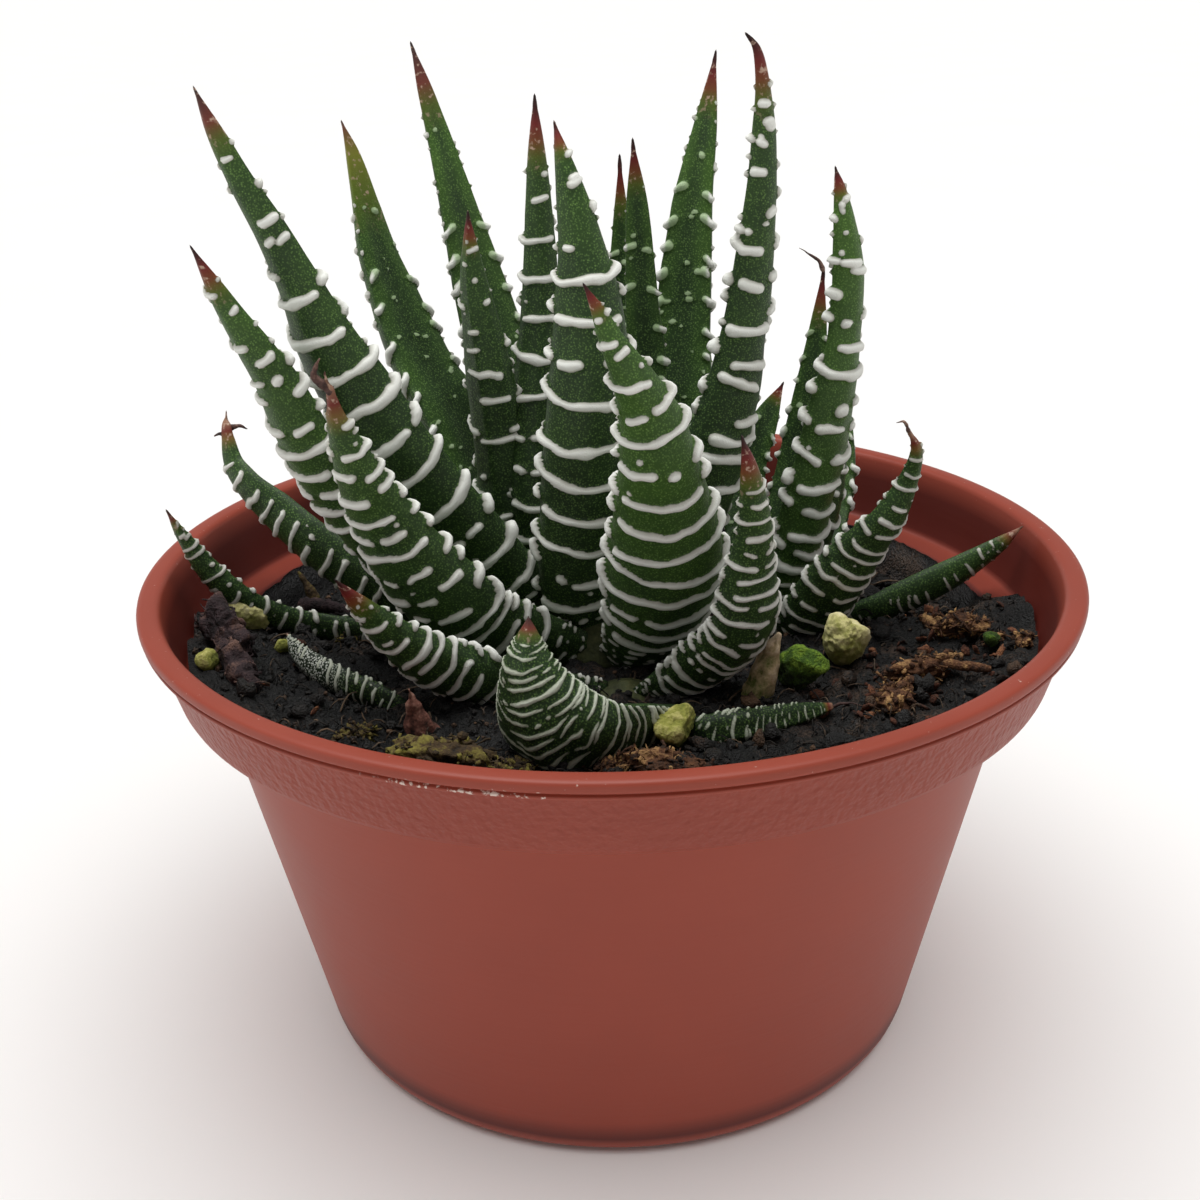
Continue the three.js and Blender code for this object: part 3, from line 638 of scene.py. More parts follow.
@dataclass
class NurseryPot:
    """The thin plastic pot with a rolled lip, a pebbled skirt, an inner ledge and a foot ring."""

    height: float = 63.0
    rim: float = 60.0
    wall: float = 1.3
    step: float = 52.4
    skirt: float = 56.2
    body_top: float = 51.9
    base: float = 41.4
    foot_outer: float = 38.8
    foot_inner: float = 35.4
    foot_height: float = 1.6
    floor: float = 3.0
    drain_holes: int = 6
    drain_radius: float = 4.0
    drain_circle: float = 27.0
    segments: int = 224
    corner_steps: int = 3
    longest_span: float = 3.2
    scuffed_at: float = -1.85
    scuffed_over: float = 0.3
    groove_drop: float = 1.8
    # How dark the painted shade inside the pot gets at most, and how much painted shade the skirt gets for
    # its pits.
    painted_shade_most: float = 0.95
    skirt_shade: float = 0.14

    def ledge(self) -> float:
        """Height of the inner ledge."""
        return self.step + self.wall

    def inner_wall(self, height: float | Array) -> float | Array:
        """Inner radius of the body at heights below the ledge."""
        share = height / self.step
        return self.base + (self.body_top - self.base) * share - self.wall

    def profile(self) -> Array:
        """Trace the wall from under the floor, up the outside, over the lip and down the inside.

        Each corner has its radius, its height and how far it is rounded.

        Returns:
            Rows of radius and height.
        """
        lip, rim, wall = self.height, self.rim, self.wall
        return rounded_profile(
            [
                (0.0, self.foot_height, 0.0),
                (self.foot_inner - 0.3, self.foot_height, 0.5),
                (self.foot_inner, 0.0, 0.4),
                (self.foot_outer, 0.0, 0.5),
                (self.base - 0.4, 1.4, 1.8),
                (self.body_top, self.step, 0.5),
                (self.skirt, self.step, 0.9),
                (rim - 1.45, lip - 2.3, 0.4),
                (rim - 0.25, lip - 2.05, 0.3),
                (rim - 0.2, lip - 1.7, 0.15),
                (rim - 0.55, lip - 1.5, 0.1),
                (rim, lip - 1.2, 0.3),
                (rim, lip, 0.75),
                (rim - 2.7, lip, 0.8),
                (self.skirt - wall, self.ledge(), 0.8),
                (self.body_top - wall, self.ledge() - 0.2, 0.9),
                (self.inner_wall(self.floor), self.floor, 1.2),
                (0.0, self.floor, 0.0),
            ],
            self.corner_steps,
            self.longest_span,
        )

    def turned(self) -> bpy.types.Object:
        """Turn the profile about Z as one closed mesh.

        Returns:
            The pot without its drainage holes.
        """
        line = self.profile()
        angles = full_turn(self.segments)
        inner = line[1:-1]
        x = inner[:, :1] * np.cos(angles)
        y = inner[:, :1] * np.sin(angles)
        z = np.repeat(inner[:, 1:], self.segments, axis=1)
        rings = np.stack([x, y, z], axis=-1).reshape(-1, 3)
        poles = np.array([[0.0, 0.0, line[0, 1]], [0.0, 0.0, line[-1, 1]]])
        return make_piece("pot_shell", (np.vstack([rings, poles]), closed_tube(len(inner), self.segments)))

    def drain(self, piece: bpy.types.Object) -> None:
        """Cut the drainage holes through the floor.

        Args:
            piece: the turned pot.
        """
        form = bmesh.new()
        radius = self.drain_radius * MM
        for i in range(self.drain_holes):
            angle = (i + 0.5) * 2 * math.pi / self.drain_holes
            spot = Vector((math.cos(angle), math.sin(angle), 0.0)) * self.drain_circle * MM
            bmesh.ops.create_cone(
                form,
                cap_ends=True,
                segments=32,
                radius1=radius,
                radius2=radius,
                depth=4 * self.floor * MM,
                matrix=Matrix.Translation(spot),
            )
        mesh = bpy.data.meshes.new("drain_cutter")
        form.to_mesh(mesh)
        form.free()
        cutter = bpy.data.objects.new("drain_cutter", mesh)
        put_in_scene(cutter)
        cut = piece.modifiers.new("drain", "BOOLEAN")
        cut.operation = "DIFFERENCE"
        cut.object = cutter
        graph = bpy.context.evaluated_depsgraph_get()
        drained = bpy.data.meshes.new_from_object(piece.evaluated_get(graph))
        piece.modifiers.clear()
        piece.data = drained
        bpy.data.objects.remove(cutter)

    def mark(self, piece: bpy.types.Object) -> None:
        """Write where the skirt's pebbles are, where shade is painted inside the pot and on the pebbled
        skirt, and where lime has settled.

        Args:
            piece: the drained pot.
        """
        mesh = piece.data
        points = np.empty(len(mesh.vertices) * 3, dtype=np.float32)
        mesh.vertices.foreach_get("co", points)
        x, y, z = points.reshape(-1, 3).T / MM
        radius = np.hypot(x, y)
        upper = self.skirt - 0.5 * self.wall + 0.25 * (z - self.ledge())
        lower = self.inner_wall(z) + 0.5 * self.wall
        outside = radius > np.where(z > self.step + 0.5 * self.wall, upper, lower)
        above = smoothstep(self.step, self.step + 1.0, z)
        below = 1.0 - smoothstep(self.height - 2.6, self.height - 2.2, z)
        front = np.exp(-(((np.arctan2(y, x) - self.scuffed_at) / self.scuffed_over) ** 2))
        groove = np.exp(-(((z - self.height + self.groove_drop) / 0.5) ** 2))
        lip = smoothstep(self.height - 1.4, self.height - 1.2, z)
        soiled = 0.4 + 0.29 * lip + 0.62 * front * groove * outside
        # Painted shade: dark on the inside below the lip, less on the ledge's upward flat, and a little on
        # the pebbled skirt.
        flat = np.exp(-(((z - self.ledge()) / 0.35) ** 2)) * (radius > self.body_top - self.wall + 0.5)
        damp = (1.0 - smoothstep(self.height - 2.6, self.height - 0.2, z)) * ~outside * (1.0 - 0.65 * flat)
        damp = damp * (z > self.foot_height + 1.0) * self.painted_shade_most
        skirt = outside * above * below
        damp = np.maximum(damp, self.skirt_shade * skirt)
        write_values(mesh, {"skirt": skirt, "soiled": soiled, "damp": damp})

    def build(self) -> None:
        """Build and dress the pot."""
        piece = self.turned()
        self.drain(piece)
        self.mark(piece)
        settle(piece, PotPlastic().material(), "pot_plastic", "pot")


@dataclass
class PottingMix:
    """The peat mix in the pot, with crumbs, bark chips and fibres loose on its top.

    Each hollow, where a low leaf has settled, holds x, y, two half sizes and its depth. Clods come
    in three sizes, each with its width and height. Most chips lie within the chip side's angles.
    """

    pot: NurseryPot
    middle: float = 50.0
    side_rise: float = 6.5
    side_fade: float = 13.0
    front_rise: float = 1.5
    back_drop: float = 4.6
    crumb_height: float = 0.6
    reach: float = 58.0
    gap: float = 0.35
    hollows: tuple[Hollow, ...] = ((16.0, -25.5, 9.5, 4.0, 1.3), (-33.5, -14.5, 6.5, 5.0, 1.3))
    clods: tuple[tuple[float, float], ...] = ((5.2, 1.2), (2.6, 1.05), (1.4, 0.75))
    rings: int = 74
    segments: int = 360
    crumbs: int = 2900
    crumb_sizes: tuple[float, float] = (0.18, 0.62)
    large_crumbs: int = 320
    large_sizes: tuple[float, float] = (0.6, 1.35)
    chips: int = 110
    chip_shape: Point = (1.0, 0.7, 0.3)
    chip_side: tuple[float, float] = (-0.75, 0.1)
    chip_side_share: float = 0.75
    pale_share: float = 0.16
    fibres: int = 1500
    roots: int = 60
    fibre_reach: float = 50.0

    # The mean of the clods' relief, so that they neither raise nor lower the top.
    relief_mean = -1.15

    def ledge_edge(self) -> float:
        """Radius where the mix meets the body's wall at the ledge."""
        return self.pot.body_top - self.pot.wall - self.gap

    def heaped(self, x: Array, y: Array) -> Array:
        """Shape the top without its lumps: heaped at both sides in front, lower at the back.

        Args:
            x: places across the pot.
            y: places from front to back.

        Returns:
            The height at each place.
        """
        front = 1.0 - smoothstep(0.0, self.side_fade, y)
        rise = self.side_rise * np.abs(x / self.reach) ** 3 * front
        rise = rise + self.front_rise * np.maximum(-y / self.reach, 0.0)
        return self.middle + rise - self.back_drop * np.maximum(y / self.reach, 0.0)

    def base_height(self, x: Array, y: Array) -> Array:
        """Shape the lumpy top without its fine clods.

        Args:
            x: places across the pot.
            y: places from front to back.

        Returns:
            The height at each place.
        """
        waves = np.sin(0.9 * x + 1.3) * np.cos(0.75 * y)
        waves = waves + 0.6 * np.sin(1.7 * y + 0.6 * x) * np.cos(1.4 * x)
        height = self.heaped(x, y) + self.crumb_height * waves / 1.6
        for hollow_x, hollow_y, wide, deep, drop in self.hollows:
            height = height - drop * np.exp(-(((x - hollow_x) / wide) ** 2) - ((y - hollow_y) / deep) ** 2)
        return height

    def edge_radius(self, angle: Array) -> Array:
        """Find where the top meets the pot's wall: over the ledge where the mix is heaped, else inside it.

        Args:
            angle: angles round the pot.

        Returns:
            The radius at each angle.
        """
        inner = self.ledge_edge()
        outer = self.pot.skirt - self.pot.wall - self.gap
        height = self.heaped(inner * np.cos(angle), inner * np.sin(angle))
        over = smoothstep(self.pot.ledge() - 1.2, self.pot.ledge() + 0.4, height)
        outer = outer + 0.24 * np.maximum(height - self.pot.ledge(), 0.0)
        return inner + (outer - inner) * over

    def fine_height(self, x: Array, y: Array) -> Array:
        """Add clods with sharp creases between them, and keep the heaps above the pot's ledge.

        Args:
            x: places across the pot.
            y: places from front to back.

        Returns:
            The height at each place.
        """
        flat = np.column_stack([x, y, np.zeros(len(x))])
        relief = np.full(len(x), self.relief_mean)
        for k, (cell, depth) in enumerate(self.clods):
            relief = relief + depth * np.abs(value_noise(flat, cell, SEED + k))
        height = self.base_height(x, y) + relief
        past = smoothstep(-1.2, 0.2, np.hypot(x, y) - self.ledge_edge())
        return height + past * np.maximum(self.pot.ledge() + 0.5 + 0.4 * relief - height, 0.0)

    def build_body(self) -> None:
        """Build the closed body of peat: its rough top, and sides that follow the pot's inside."""
        angles = full_turn(self.segments)
        turn = np.column_stack([np.cos(angles), np.sin(angles)])
        edge = self.edge_radius(angles)
        shares = np.linspace(0.0, 1.0, self.rings + 1)[1:]
        flat = (shares[:, None, None] * edge[None, :, None] * turn[None]).reshape(-1, 2)
        height = self.fine_height(flat[:, 0], flat[:, 1])
        top = np.column_stack([flat, height])
        rim = height[-self.segments :]
        ledge = self.pot.ledge() + self.gap
        low = self.pot.floor + self.gap
        inner = self.ledge_edge()
        foot = self.pot.inner_wall(low)
        over = edge > inner + 0.3
        sides = []
        for radius, level in (
            (edge, np.where(over, np.minimum(rim - 0.1, ledge), rim - 1.0)),
            (np.full_like(edge, inner), np.minimum(rim - 1.5, ledge - 0.5)),
            (np.full_like(edge, foot - self.gap), np.full_like(edge, low + 1)),
            (np.full_like(edge, foot - 1.4), np.full_like(edge, low)),
        ):
            sides.append(np.column_stack([radius[:, None] * turn, level]))
        centre = self.fine_height(np.zeros(1), np.zeros(1))[0]
        points = np.vstack([top, *sides, [[0, 0, centre], [0, 0, low]]])
        tint = 0.14 * value_noise(points, 9.0, SEED + 2) + 0.12 * value_noise(points, 2.0, SEED + 3)
        tint += 0.0016 * points[:, 0]
        piece = make_piece(
            "peat_body", (points, closed_tube(self.rings + len(sides), self.segments)), {"tint": tint}
        )
        settle(piece, PEAT.material(), "peat", "soil")

    def spots(self, count: int, inset: float, draw: Draw) -> Array:
        """Draw places on the top, more of them towards the rim.

        Args:
            count: how many.
            inset: how far inside the wall they end.
            draw: the seeded random source.

        Returns:
            Rows of x, y and z.
        """
        angle = draw.uniform(0, 2 * math.pi, count)
        far = (self.edge_radius(angle) - inset) * draw.uniform(0.05, 1.0, count) ** 0.55
        x, y = far * np.cos(angle), far * np.sin(angle)
        return np.column_stack([x, y, self.fine_height(x, y)])

    def scatter(self, count: int, level: int, sizes: tuple[float, float], draw: Draw) -> Body:
        """Make loose angular crumbs.

        Args:
            count: how many.
            level: how fine each one's mesh is.
            sizes: the smallest and largest radius.
            draw: the seeded random source.

        Returns:
            The points and faces of them all.
        """
        shape, faces = ball(level)
        size = sizes[0] + (sizes[1] - sizes[0]) * draw.uniform(0, 1, count) ** 2.2
        scale = size[:, None, None] * draw.uniform(0.6, 1.3, (count, 1, 3))
        solid = shape[None] * scale * draw.uniform(0.55, 1.3, (count, len(shape), 1))
        turn = draw.uniform(0, 2 * math.pi, count)[:, None]
        x = solid[..., 0] * np.cos(turn) - solid[..., 1] * np.sin(turn)
        y = solid[..., 0] * np.sin(turn) + solid[..., 1] * np.cos(turn)
        spots = self.spots(count, 0.8, draw)
        solid = np.stack([x, y, solid[..., 2]], axis=-1) + spots[:, None]
        solid[..., 2] += 0.25 * size[:, None]
        offset = np.arange(count)[:, None, None] * len(shape)
        return solid.reshape(-1, 3), [(faces[None] + offset).reshape(-1, 3)]

    @staticmethod
    def lay(name: str, bodies: list[Body], tints: list[Array], finish: CrumblyMatter, slot: str) -> None:
        """Make and dress one piece of many loose bodies, each with its own tint."""
        piece = make_piece(name, gather(bodies), {"tint": np.concatenate(tints)})
        settle(piece, finish.material(), slot)

    def build_crumbs(self, draw: Draw) -> None:
        """Scatter rough crumbs of peat and bark dust as one mesh.

        Args:
            draw: the seeded random source.
        """
        small = self.scatter(self.crumbs, 1, self.crumb_sizes, draw)
        large = self.scatter(self.large_crumbs, 2, self.large_sizes, draw)
        tints = []
        for count, (points, _) in ((self.crumbs, small), (self.large_crumbs, large)):
            tint = draw.uniform(-0.4, 0.1, count) + 0.6 * (draw.uniform(0, 1, count) < self.pale_share)
            tints.append(np.repeat(tint, len(points) // count))
        self.lay("peat_crumbs", [small, large], tints, PEAT_CRUMBS, "peat")

    def build_chips(self, draw: Draw) -> None:
        """Scatter flat bark chips as one mesh, most of them on the right side.

        Args:
            draw: the seeded random source.
        """
        shape, faces = ball(2)
        bodies, tints = [], []
        for _ in range(self.chips):
            right = draw.uniform() < self.chip_side_share
            angle = draw.uniform(*(self.chip_side if right else (0.0, 2 * math.pi)))
            far = (float(self.edge_radius(np.array([angle]))[0]) - 1.6) * draw.uniform(0.6, 1.0)
            x, y = np.array([far * math.cos(angle)]), np.array([far * math.sin(angle)])
            size = draw.uniform(0.45, 1.25) * np.array(self.chip_shape) * draw.uniform(0.7, 1.3, 3)
            turn, _ = np.linalg.qr(draw.normal(size=(3, 3)) * (1.0, 1.0, 0.5))
            spot = np.array([x[0], y[0], float(self.fine_height(x, y)[0]) + 0.4 * size[1]])
            bodies.append(((shape * draw.uniform(0.7, 1.2, (len(shape), 1)) * size) @ turn + spot, [faces]))
            tints.append(np.full(len(shape), draw.uniform(-0.35, 0.25)))
        self.lay("bark_chips", bodies, tints, RED_BARK, "bark")

    def build_fibres(self, draw: Draw) -> None:
        """Lay short peat fibres and a few longer roots over the crumbs as one mesh.

        Args:
            draw: the seeded random source.
        """
        bodies, tints = [], []
        spots = self.spots(self.fibres + self.roots, 3.5, draw)
        for i, spot in enumerate(spots):
            root = i < self.roots
            steps = 9 if root else 5
            bends = draw.uniform(0, 2 * math.pi) + np.cumsum(draw.uniform(-0.4, 0.4, steps))
            stride = draw.uniform(0.4, 0.8) if root else draw.uniform(0.25, 0.7)
            flat = spot[:2] + np.cumsum(np.column_stack([np.cos(bends), np.sin(bends)]) * stride, axis=0)
            flat *= np.minimum(1.0, self.fibre_reach / np.hypot(flat[:, 0], flat[:, 1]))[:, None]
            arch = np.sin(np.linspace(0, math.pi, steps)) * draw.uniform(0.2, 0.9)
            tilt = np.linspace(-1, 1, steps) * draw.uniform(-0.6, 0.6)
            line = np.column_stack([flat, spot[2] + 0.15 + arch + tilt])
            radius = draw.uniform(0.09, 0.18) * np.linspace(1.0, 0.5, steps)
            bodies.append(strand(line, radius, 5 if root else 3))
            tint = draw.uniform(0.0, 0.5) if root else draw.uniform(-0.45, 0.4)
            tints.append(np.full(len(bodies[-1][0]), tint))
        self.lay("peat_fibres", bodies, tints, PEAT_FIBRE, "peat")

    def build(self) -> None:
        """Build the mix and what lies loose on it."""
        draw = np.random.default_rng(SEED)
        self.build_body()
        self.build_crumbs(draw)
        self.build_chips(draw)
        self.build_fibres(draw)


@dataclass(frozen=True)
class Marks:
    """How a leaf's white warts join.

    Broken is the chance that a band is cut, stagger how far its parts shift as a share of the
    band spacing, wrap how far it reaches past the margin, sprinkle the chance of a loose dot,
    lobe the chance of a separate knob at each margin, space the widest cut, taper the thickness
    at a cut and cut how much a band is cut up.
    """

    broken: float
    stagger: float
    wrap: float
    sprinkle: float
    lobe: float
    space: float = 0.4
    taper: float = 1.0
    cut: float = 0.0


class Pattern(Enum):
    """The kinds of marking that the leaves of this plant carry."""

    BANDED = Marks(broken=0.2, stagger=0.08, wrap=0.45, sprinkle=0.15, lobe=0.4)
    PARTED = Marks(broken=0.7, stagger=0.16, wrap=0.5, sprinkle=0.25, lobe=0.5, space=0.8)
    DASHED = Marks(broken=1.0, stagger=0.3, wrap=0.6, sprinkle=0.3, lobe=0.7, space=1.6)
    TOOTHED = Marks(broken=0.6, stagger=0.2, wrap=1.2, sprinkle=0.2, lobe=0.5, space=0.8)
    FINE = Marks(broken=1.0, stagger=0.5, wrap=0.2, sprinkle=0.0, lobe=1.0, space=0.5, taper=0.6, cut=0.5)
    DENSE = Marks(broken=1.0, stagger=0.3, wrap=0.3, sprinkle=0.0, lobe=0.0, space=0.16, taper=0.5, cut=0.5)


@dataclass(frozen=True)
class Leaf:
    """One leaf: where it grows, how wide it is along its line, and what marks it carries.

    The line holds x, y, z and the width from the root to the tip. Facing is the compass angle
    that its banded outer face looks to, and rise how far the inner face tips up to the sky. Gaps
    are the band spacings at the root, middle and tip, span the stretch between the margins, at -1
    and 1, that its bands cross, and frost how closely fine white points cover its upper half.
    """

    name: str
    facing: float
    line: tuple[tuple[float, float, float, float], ...]
    gaps: tuple[float, float, float]
    rise: float = 1.0
    band: float = 1.2
    pattern: Pattern = Pattern.BANDED
    bands_until: float = 0.8
    keel: float = 0.05
    dots: float = 1.0
    chalk: float = 1.0
    frost: float = 0.0
    span: tuple[float, float] = (-1.0, 1.0)
    tip: Tip = Tip.RED
    tip_length: float = 8.0
    fresh: float = 0.35
    shrivel: float = 0.0
    row_step: float = 0.3
    column_step: float = 0.5

    outer_depth = 0.58
    tip_depth = 0.3
    inner_depth = 0.12
    outer_share = 0.57
    half_girth = 2.36
    end_gap = 0.25
    fewest_rings = 24
    column_limits = (16, 76)
    first_band = 1.0
    bare_tip_share = 0.7
    gap_places = (0.0, 0.3, 0.6, 0.92)
    speckled_until = 0.13
    speckled_gap = 0.6
    tip_mark_gap = 0.62
    knot_step = 1.1
    band_tilt = 0.07
    band_sag = 0.12
    band_upturn = 0.13
    lobe_places = (0.62, 0.8)
    bar_knob = 0.55
    fresher_to_tip = 0.38
    fresher_inside = 0.14
    duller_fold = 0.3
    no_wart = 1.5

    def centreline(self) -> tuple[Array, Array, float]:
        """Follow the leaf's line at even steps.

        Returns:
            Rows of x, y, z and width, the distance of each from the root, and the whole length.
        """
        nodes = np.array(self.line)
        shares = np.linspace(0.0, 1.0, 1201)
        fine = catmull(nodes, shares)
        run = np.linalg.norm(np.diff(fine[:, :3], axis=0), axis=1)
        along = np.concatenate([[0.0], np.cumsum(run)])
        length = float(along[-1])
        count = max(self.fewest_rings, round(length / self.row_step))
        rows = np.linspace(0.0, length - self.end_gap, count)
        return catmull(nodes, np.interp(rows, along, shares)), rows, length

    def lay_warts(self, rows: Array, half: Array, length: float, draw: Draw) -> Array:
        """Lay out the leaf's white ridges and dots over its unrolled skin.

        Args:
            rows: the distance of each ring from the root.
            half: half the leaf's width at each ring.
            length: the leaf's length.
            draw: the seeded random source.

        Returns:
            Rows of along, across and radius at one end, and the same at the other end.
        """
        marks = self.pattern.value
        dense = self.pattern in (Pattern.DENSE, Pattern.FINE)
        low, middle, high = self.gaps
        warts: list[Wart] = []
        at = self.first_band
        while at < length - self.bare_tip_share * self.tip_length:
            share = at / length
            girth = self.half_girth * float(np.interp(at, rows, half))
            margin = girth * self.outer_share
            gap = float(np.interp(share, self.gap_places, (low, middle, middle, high)))
            radius = 0.5 * self.band * min(1.0, 0.55 + margin / 10.0)
            if share < self.speckled_until and not dense:
                gap *= self.speckled_gap
                warts.extend(self.lay_dashes(at, margin, 0.55 * radius, draw))
            elif share > self.bands_until:
                gap *= self.tip_mark_gap
                warts.extend(self.lay_tip_marks(at, gap, margin, radius, draw))
            else:
                warts.extend(self.lay_band(at, gap, margin, radius, draw))
            for side in (-1.0, 1.0):
                if draw.uniform() < 0.5 and not dense and self.span[0] <= side <= self.span[1]:
                    spot = side * (margin + draw.uniform(-0.3, 0.2))
                    warts.append(self.dot(at + gap * draw.uniform(0.35, 0.65), spot, 0.62 * radius))
            if draw.uniform() < marks.sprinkle:
                spot = draw.uniform(-0.8, 0.8) * margin
                warts.append(self.dot(at + gap * draw.uniform(0.35, 0.65), spot, 0.55 * radius))
            room = max(0.0, girth - margin - 1.2)
            for _ in range(draw.poisson(0.15 * self.dots * gap * room * (1.6 - share))):
                spot = draw.choice((-1.0, 1.0)) * draw.uniform(margin + 0.6, girth - 0.3)
                thick = 0.5 * self.band * draw.uniform(0.5, 0.85) * min(1.0, 0.5 + 0.5 / self.dots)
                warts.append(self.dot(at + gap * draw.uniform(), spot, thick))
            at += gap * draw.uniform(0.92, 1.08)
        return np.array(warts)

    @staticmethod
    def dot(along: float, across: float, radius: float) -> Wart:
        """Describe a single round wart."""
        return (along, across, radius, along, across + 0.05, radius)

    @staticmethod
    def lay_dashes(at: float, margin: float, radius: float, draw: Draw) -> list[Wart]:
        """Lay a row of small dots and dashes, as near the root.

        Args:
            at: the row's distance from the root.
            margin: the distance from the keel to the margin.
            radius: half a dash's thickness.
            draw: the seeded random source.

        Returns:
            One row per dash.
        """
        warts = []
        spot = -margin + draw.uniform(0.0, 1.0)
        while spot < margin:
            run = draw.uniform(0.0, 1.7)
            shift = at + draw.uniform(-0.3, 0.3)
            thick = radius * draw.uniform(0.7, 1.2)
            warts.append((shift, spot, thick, shift + draw.uniform(-0.2, 0.2), spot + run, thick))
            spot += run + 2 * thick + draw.uniform(0.4, 1.3)
        return warts

    @staticmethod
    def lay_tip_marks(at: float, gap: float, margin: float, radius: float, draw: Draw) -> list[Wart]:
        """Lay the few dots and short bars of a leaf's upper part, most of them near its margins.

        Args:
            at: their distance from the root.
            gap: the band spacing.
            margin: the distance from the keel to the margin.
            radius: half a bar's thickness.
            draw: the seeded random source.

        Returns:
            One row per mark.
        """
        warts = []
        for _ in range(draw.integers(1, 3)):
            side = draw.choice((-1.0, 1.0))
            start = margin * (1.05 - 0.95 * draw.uniform() ** 1.6)
            run = margin * max(0.0, draw.uniform(-0.3, 0.6))
            shift = at + gap * draw.uniform(-0.35, 0.35)
            thick = radius * draw.uniform(0.75, 1.05)
            warts.append((shift, side * start, thick, shift - 0.25 * run, side * (start - run), thick))
        return warts

    def lay_band(self, at: float, gap: float, margin: float, radius: float, draw: Draw) -> list[Wart]:
        """Lay one cross band, which sags at the keel, turns up at the margins and may break.

        Args:
            at: the band's distance from the root.
            gap: the band spacing.
            margin: the distance over the skin from the keel to the margin.
            radius: half the band's thickness.
            draw: the seeded random source.

        Returns:
            The band as a chain of short ridges.
        """
        marks = self.pattern.value
        reach = margin + marks.wrap
        first, last = (reach * side for side in self.span)
        cuts = [first, last]
        if draw.uniform() < marks.broken:
            count = 1 + int(draw.uniform(marks.cut, 1.0) * min(3.0, reach / 2.4) * (1.0 + marks.cut))
            cuts.extend(draw.uniform(-0.7, 0.7, count) * reach)
        cuts.extend(
            side * draw.uniform(*self.lobe_places) * reach for side in (-1, 1) if draw.uniform() < marks.lobe
        )
        cuts = sorted(cut for cut in cuts if first <= cut <= last)
        tilt = draw.uniform(-self.band_tilt, self.band_tilt)
        warts = []
        for start, end in zip(cuts[:-1], cuts[1:]):
            lobe = abs(start + end) / 2 > 0.7 * reach
            from_margin, to_margin = start == -reach, end == reach
            if not from_margin:
                start += radius + draw.uniform(0.05, marks.space)
            if not to_margin:
                end -= radius + draw.uniform(0.05, marks.space)
            if end - start < 0.1:
                continue
            knots = max(3, math.ceil((end - start) / self.knot_step) + 1)
            across = np.linspace(start, end, knots)
            share = np.abs(across / reach)
            level = at + draw.uniform(-1.0, 1.0) * marks.stagger * gap * (len(cuts) > 2)
            level += lobe * draw.uniform(0.05, 0.3) * gap
            wave = np.cumsum(draw.uniform(-0.2, 0.2, knots)) * min(1.0, gap / 3.5)
            arch = margin * (self.band_sag * share**2 + self.band_upturn * share**6)
            along = level + arch + wave - wave.mean() + tilt * across
            thick = radius * draw.uniform(0.8, 1.1, knots) * (0.94 + 0.32 * share**3)
            if not from_margin:
                thick[0] *= marks.taper
            if not to_margin:
                thick[-1] *= marks.taper
            for k in range(knots - 1):
                warts.append((along[k], across[k], thick[k], along[k + 1], across[k + 1], thick[k + 1]))
        return warts

    @staticmethod
    def field(rows: Array, across: Array, warts: Array) -> tuple[Array, Array]:
        """Measure the unrolled skin, warped a little so that no ridge is quite straight, against its warts.

        Args:
            rows: the distance of each ring from the root.
            across: the distance over the skin from the keel, for each ring and column.
            warts: what lay_warts gives.

        Returns:
            The distance to the nearest wart's edge, negative inside it, and how far it stands up.
        """
        edge = np.full(across.shape, Leaf.no_wart)
        rise = np.zeros(across.shape)
        lengthwise = np.repeat(rows[:, None], across.shape[1], axis=1)
        flat = np.stack([lengthwise, across, 0 * across], axis=-1).reshape(-1, 3)
        shift = 0.3 * value_noise(flat, 2.3, SEED + 11) + 0.14 * value_noise(flat, 0.9, SEED + 12)
        lengthwise = lengthwise + shift.reshape(across.shape)
        for a0, c0, r0, a1, c1, r1 in warts:
            reach = max(r0, r1) + 1.4
            first = np.searchsorted(rows, min(a0, a1) - reach)
            last = np.searchsorted(rows, max(a0, a1) + reach)
            along, skin = lengthwise[first:last], across[first:last]
            run, wide = a1 - a0, c1 - c0
            size = run * run + wide * wide + 1e-9
            share = np.clip(((along - a0) * run + (skin - c0) * wide) / size, 0.0, 1.0)
            far = np.hypot(along - a0 - share * run, skin - c0 - share * wide)
            radius = r0 + (r1 - r0) * share
            edge[first:last] = np.minimum(edge[first:last], far - radius)
            dome = radius * np.sqrt(np.maximum(1.0 - (far / radius) ** 2, 0.0))
            rise[first:last] = np.maximum(rise[first:last], dome)
        return edge, rise

    def section(self, shares: Array, along: Array) -> tuple[Array, Array]:
        """Give the leaf's cross-section for a half width of 1.

        Args:
            shares: the place round the skin, from -1 through 0 at the keel to 1.
            along: the place along the leaf from 0 to 1.

        Returns:
            Sideways and inward reach, each with one row per place along the leaf.
        """
        size = np.abs(shares)
        outer = size <= self.outer_share
        past = (size - self.outer_share) / (1.0 - self.outer_share)
        turn = np.where(outer, 90.0 * shares / self.outer_share, np.sign(shares) * 90.0 * (1.0 + past))
        angle = np.radians(turn + 270.0)
        ridge = 1.0 + self.keel * np.exp(-((shares / 0.11) ** 2))
        depth = self.outer_depth + self.tip_depth * along[:, None]
        lift = np.abs(np.sin(angle))
        groove = 0.05 * np.exp(-(((size - 1.0) / 0.12) ** 2))
        inward = np.where(outer, -depth * lift * ridge, self.inner_depth * lift**0.7 - groove + 0 * depth)
        return np.repeat(np.cos(angle)[None], len(along), axis=0), inward

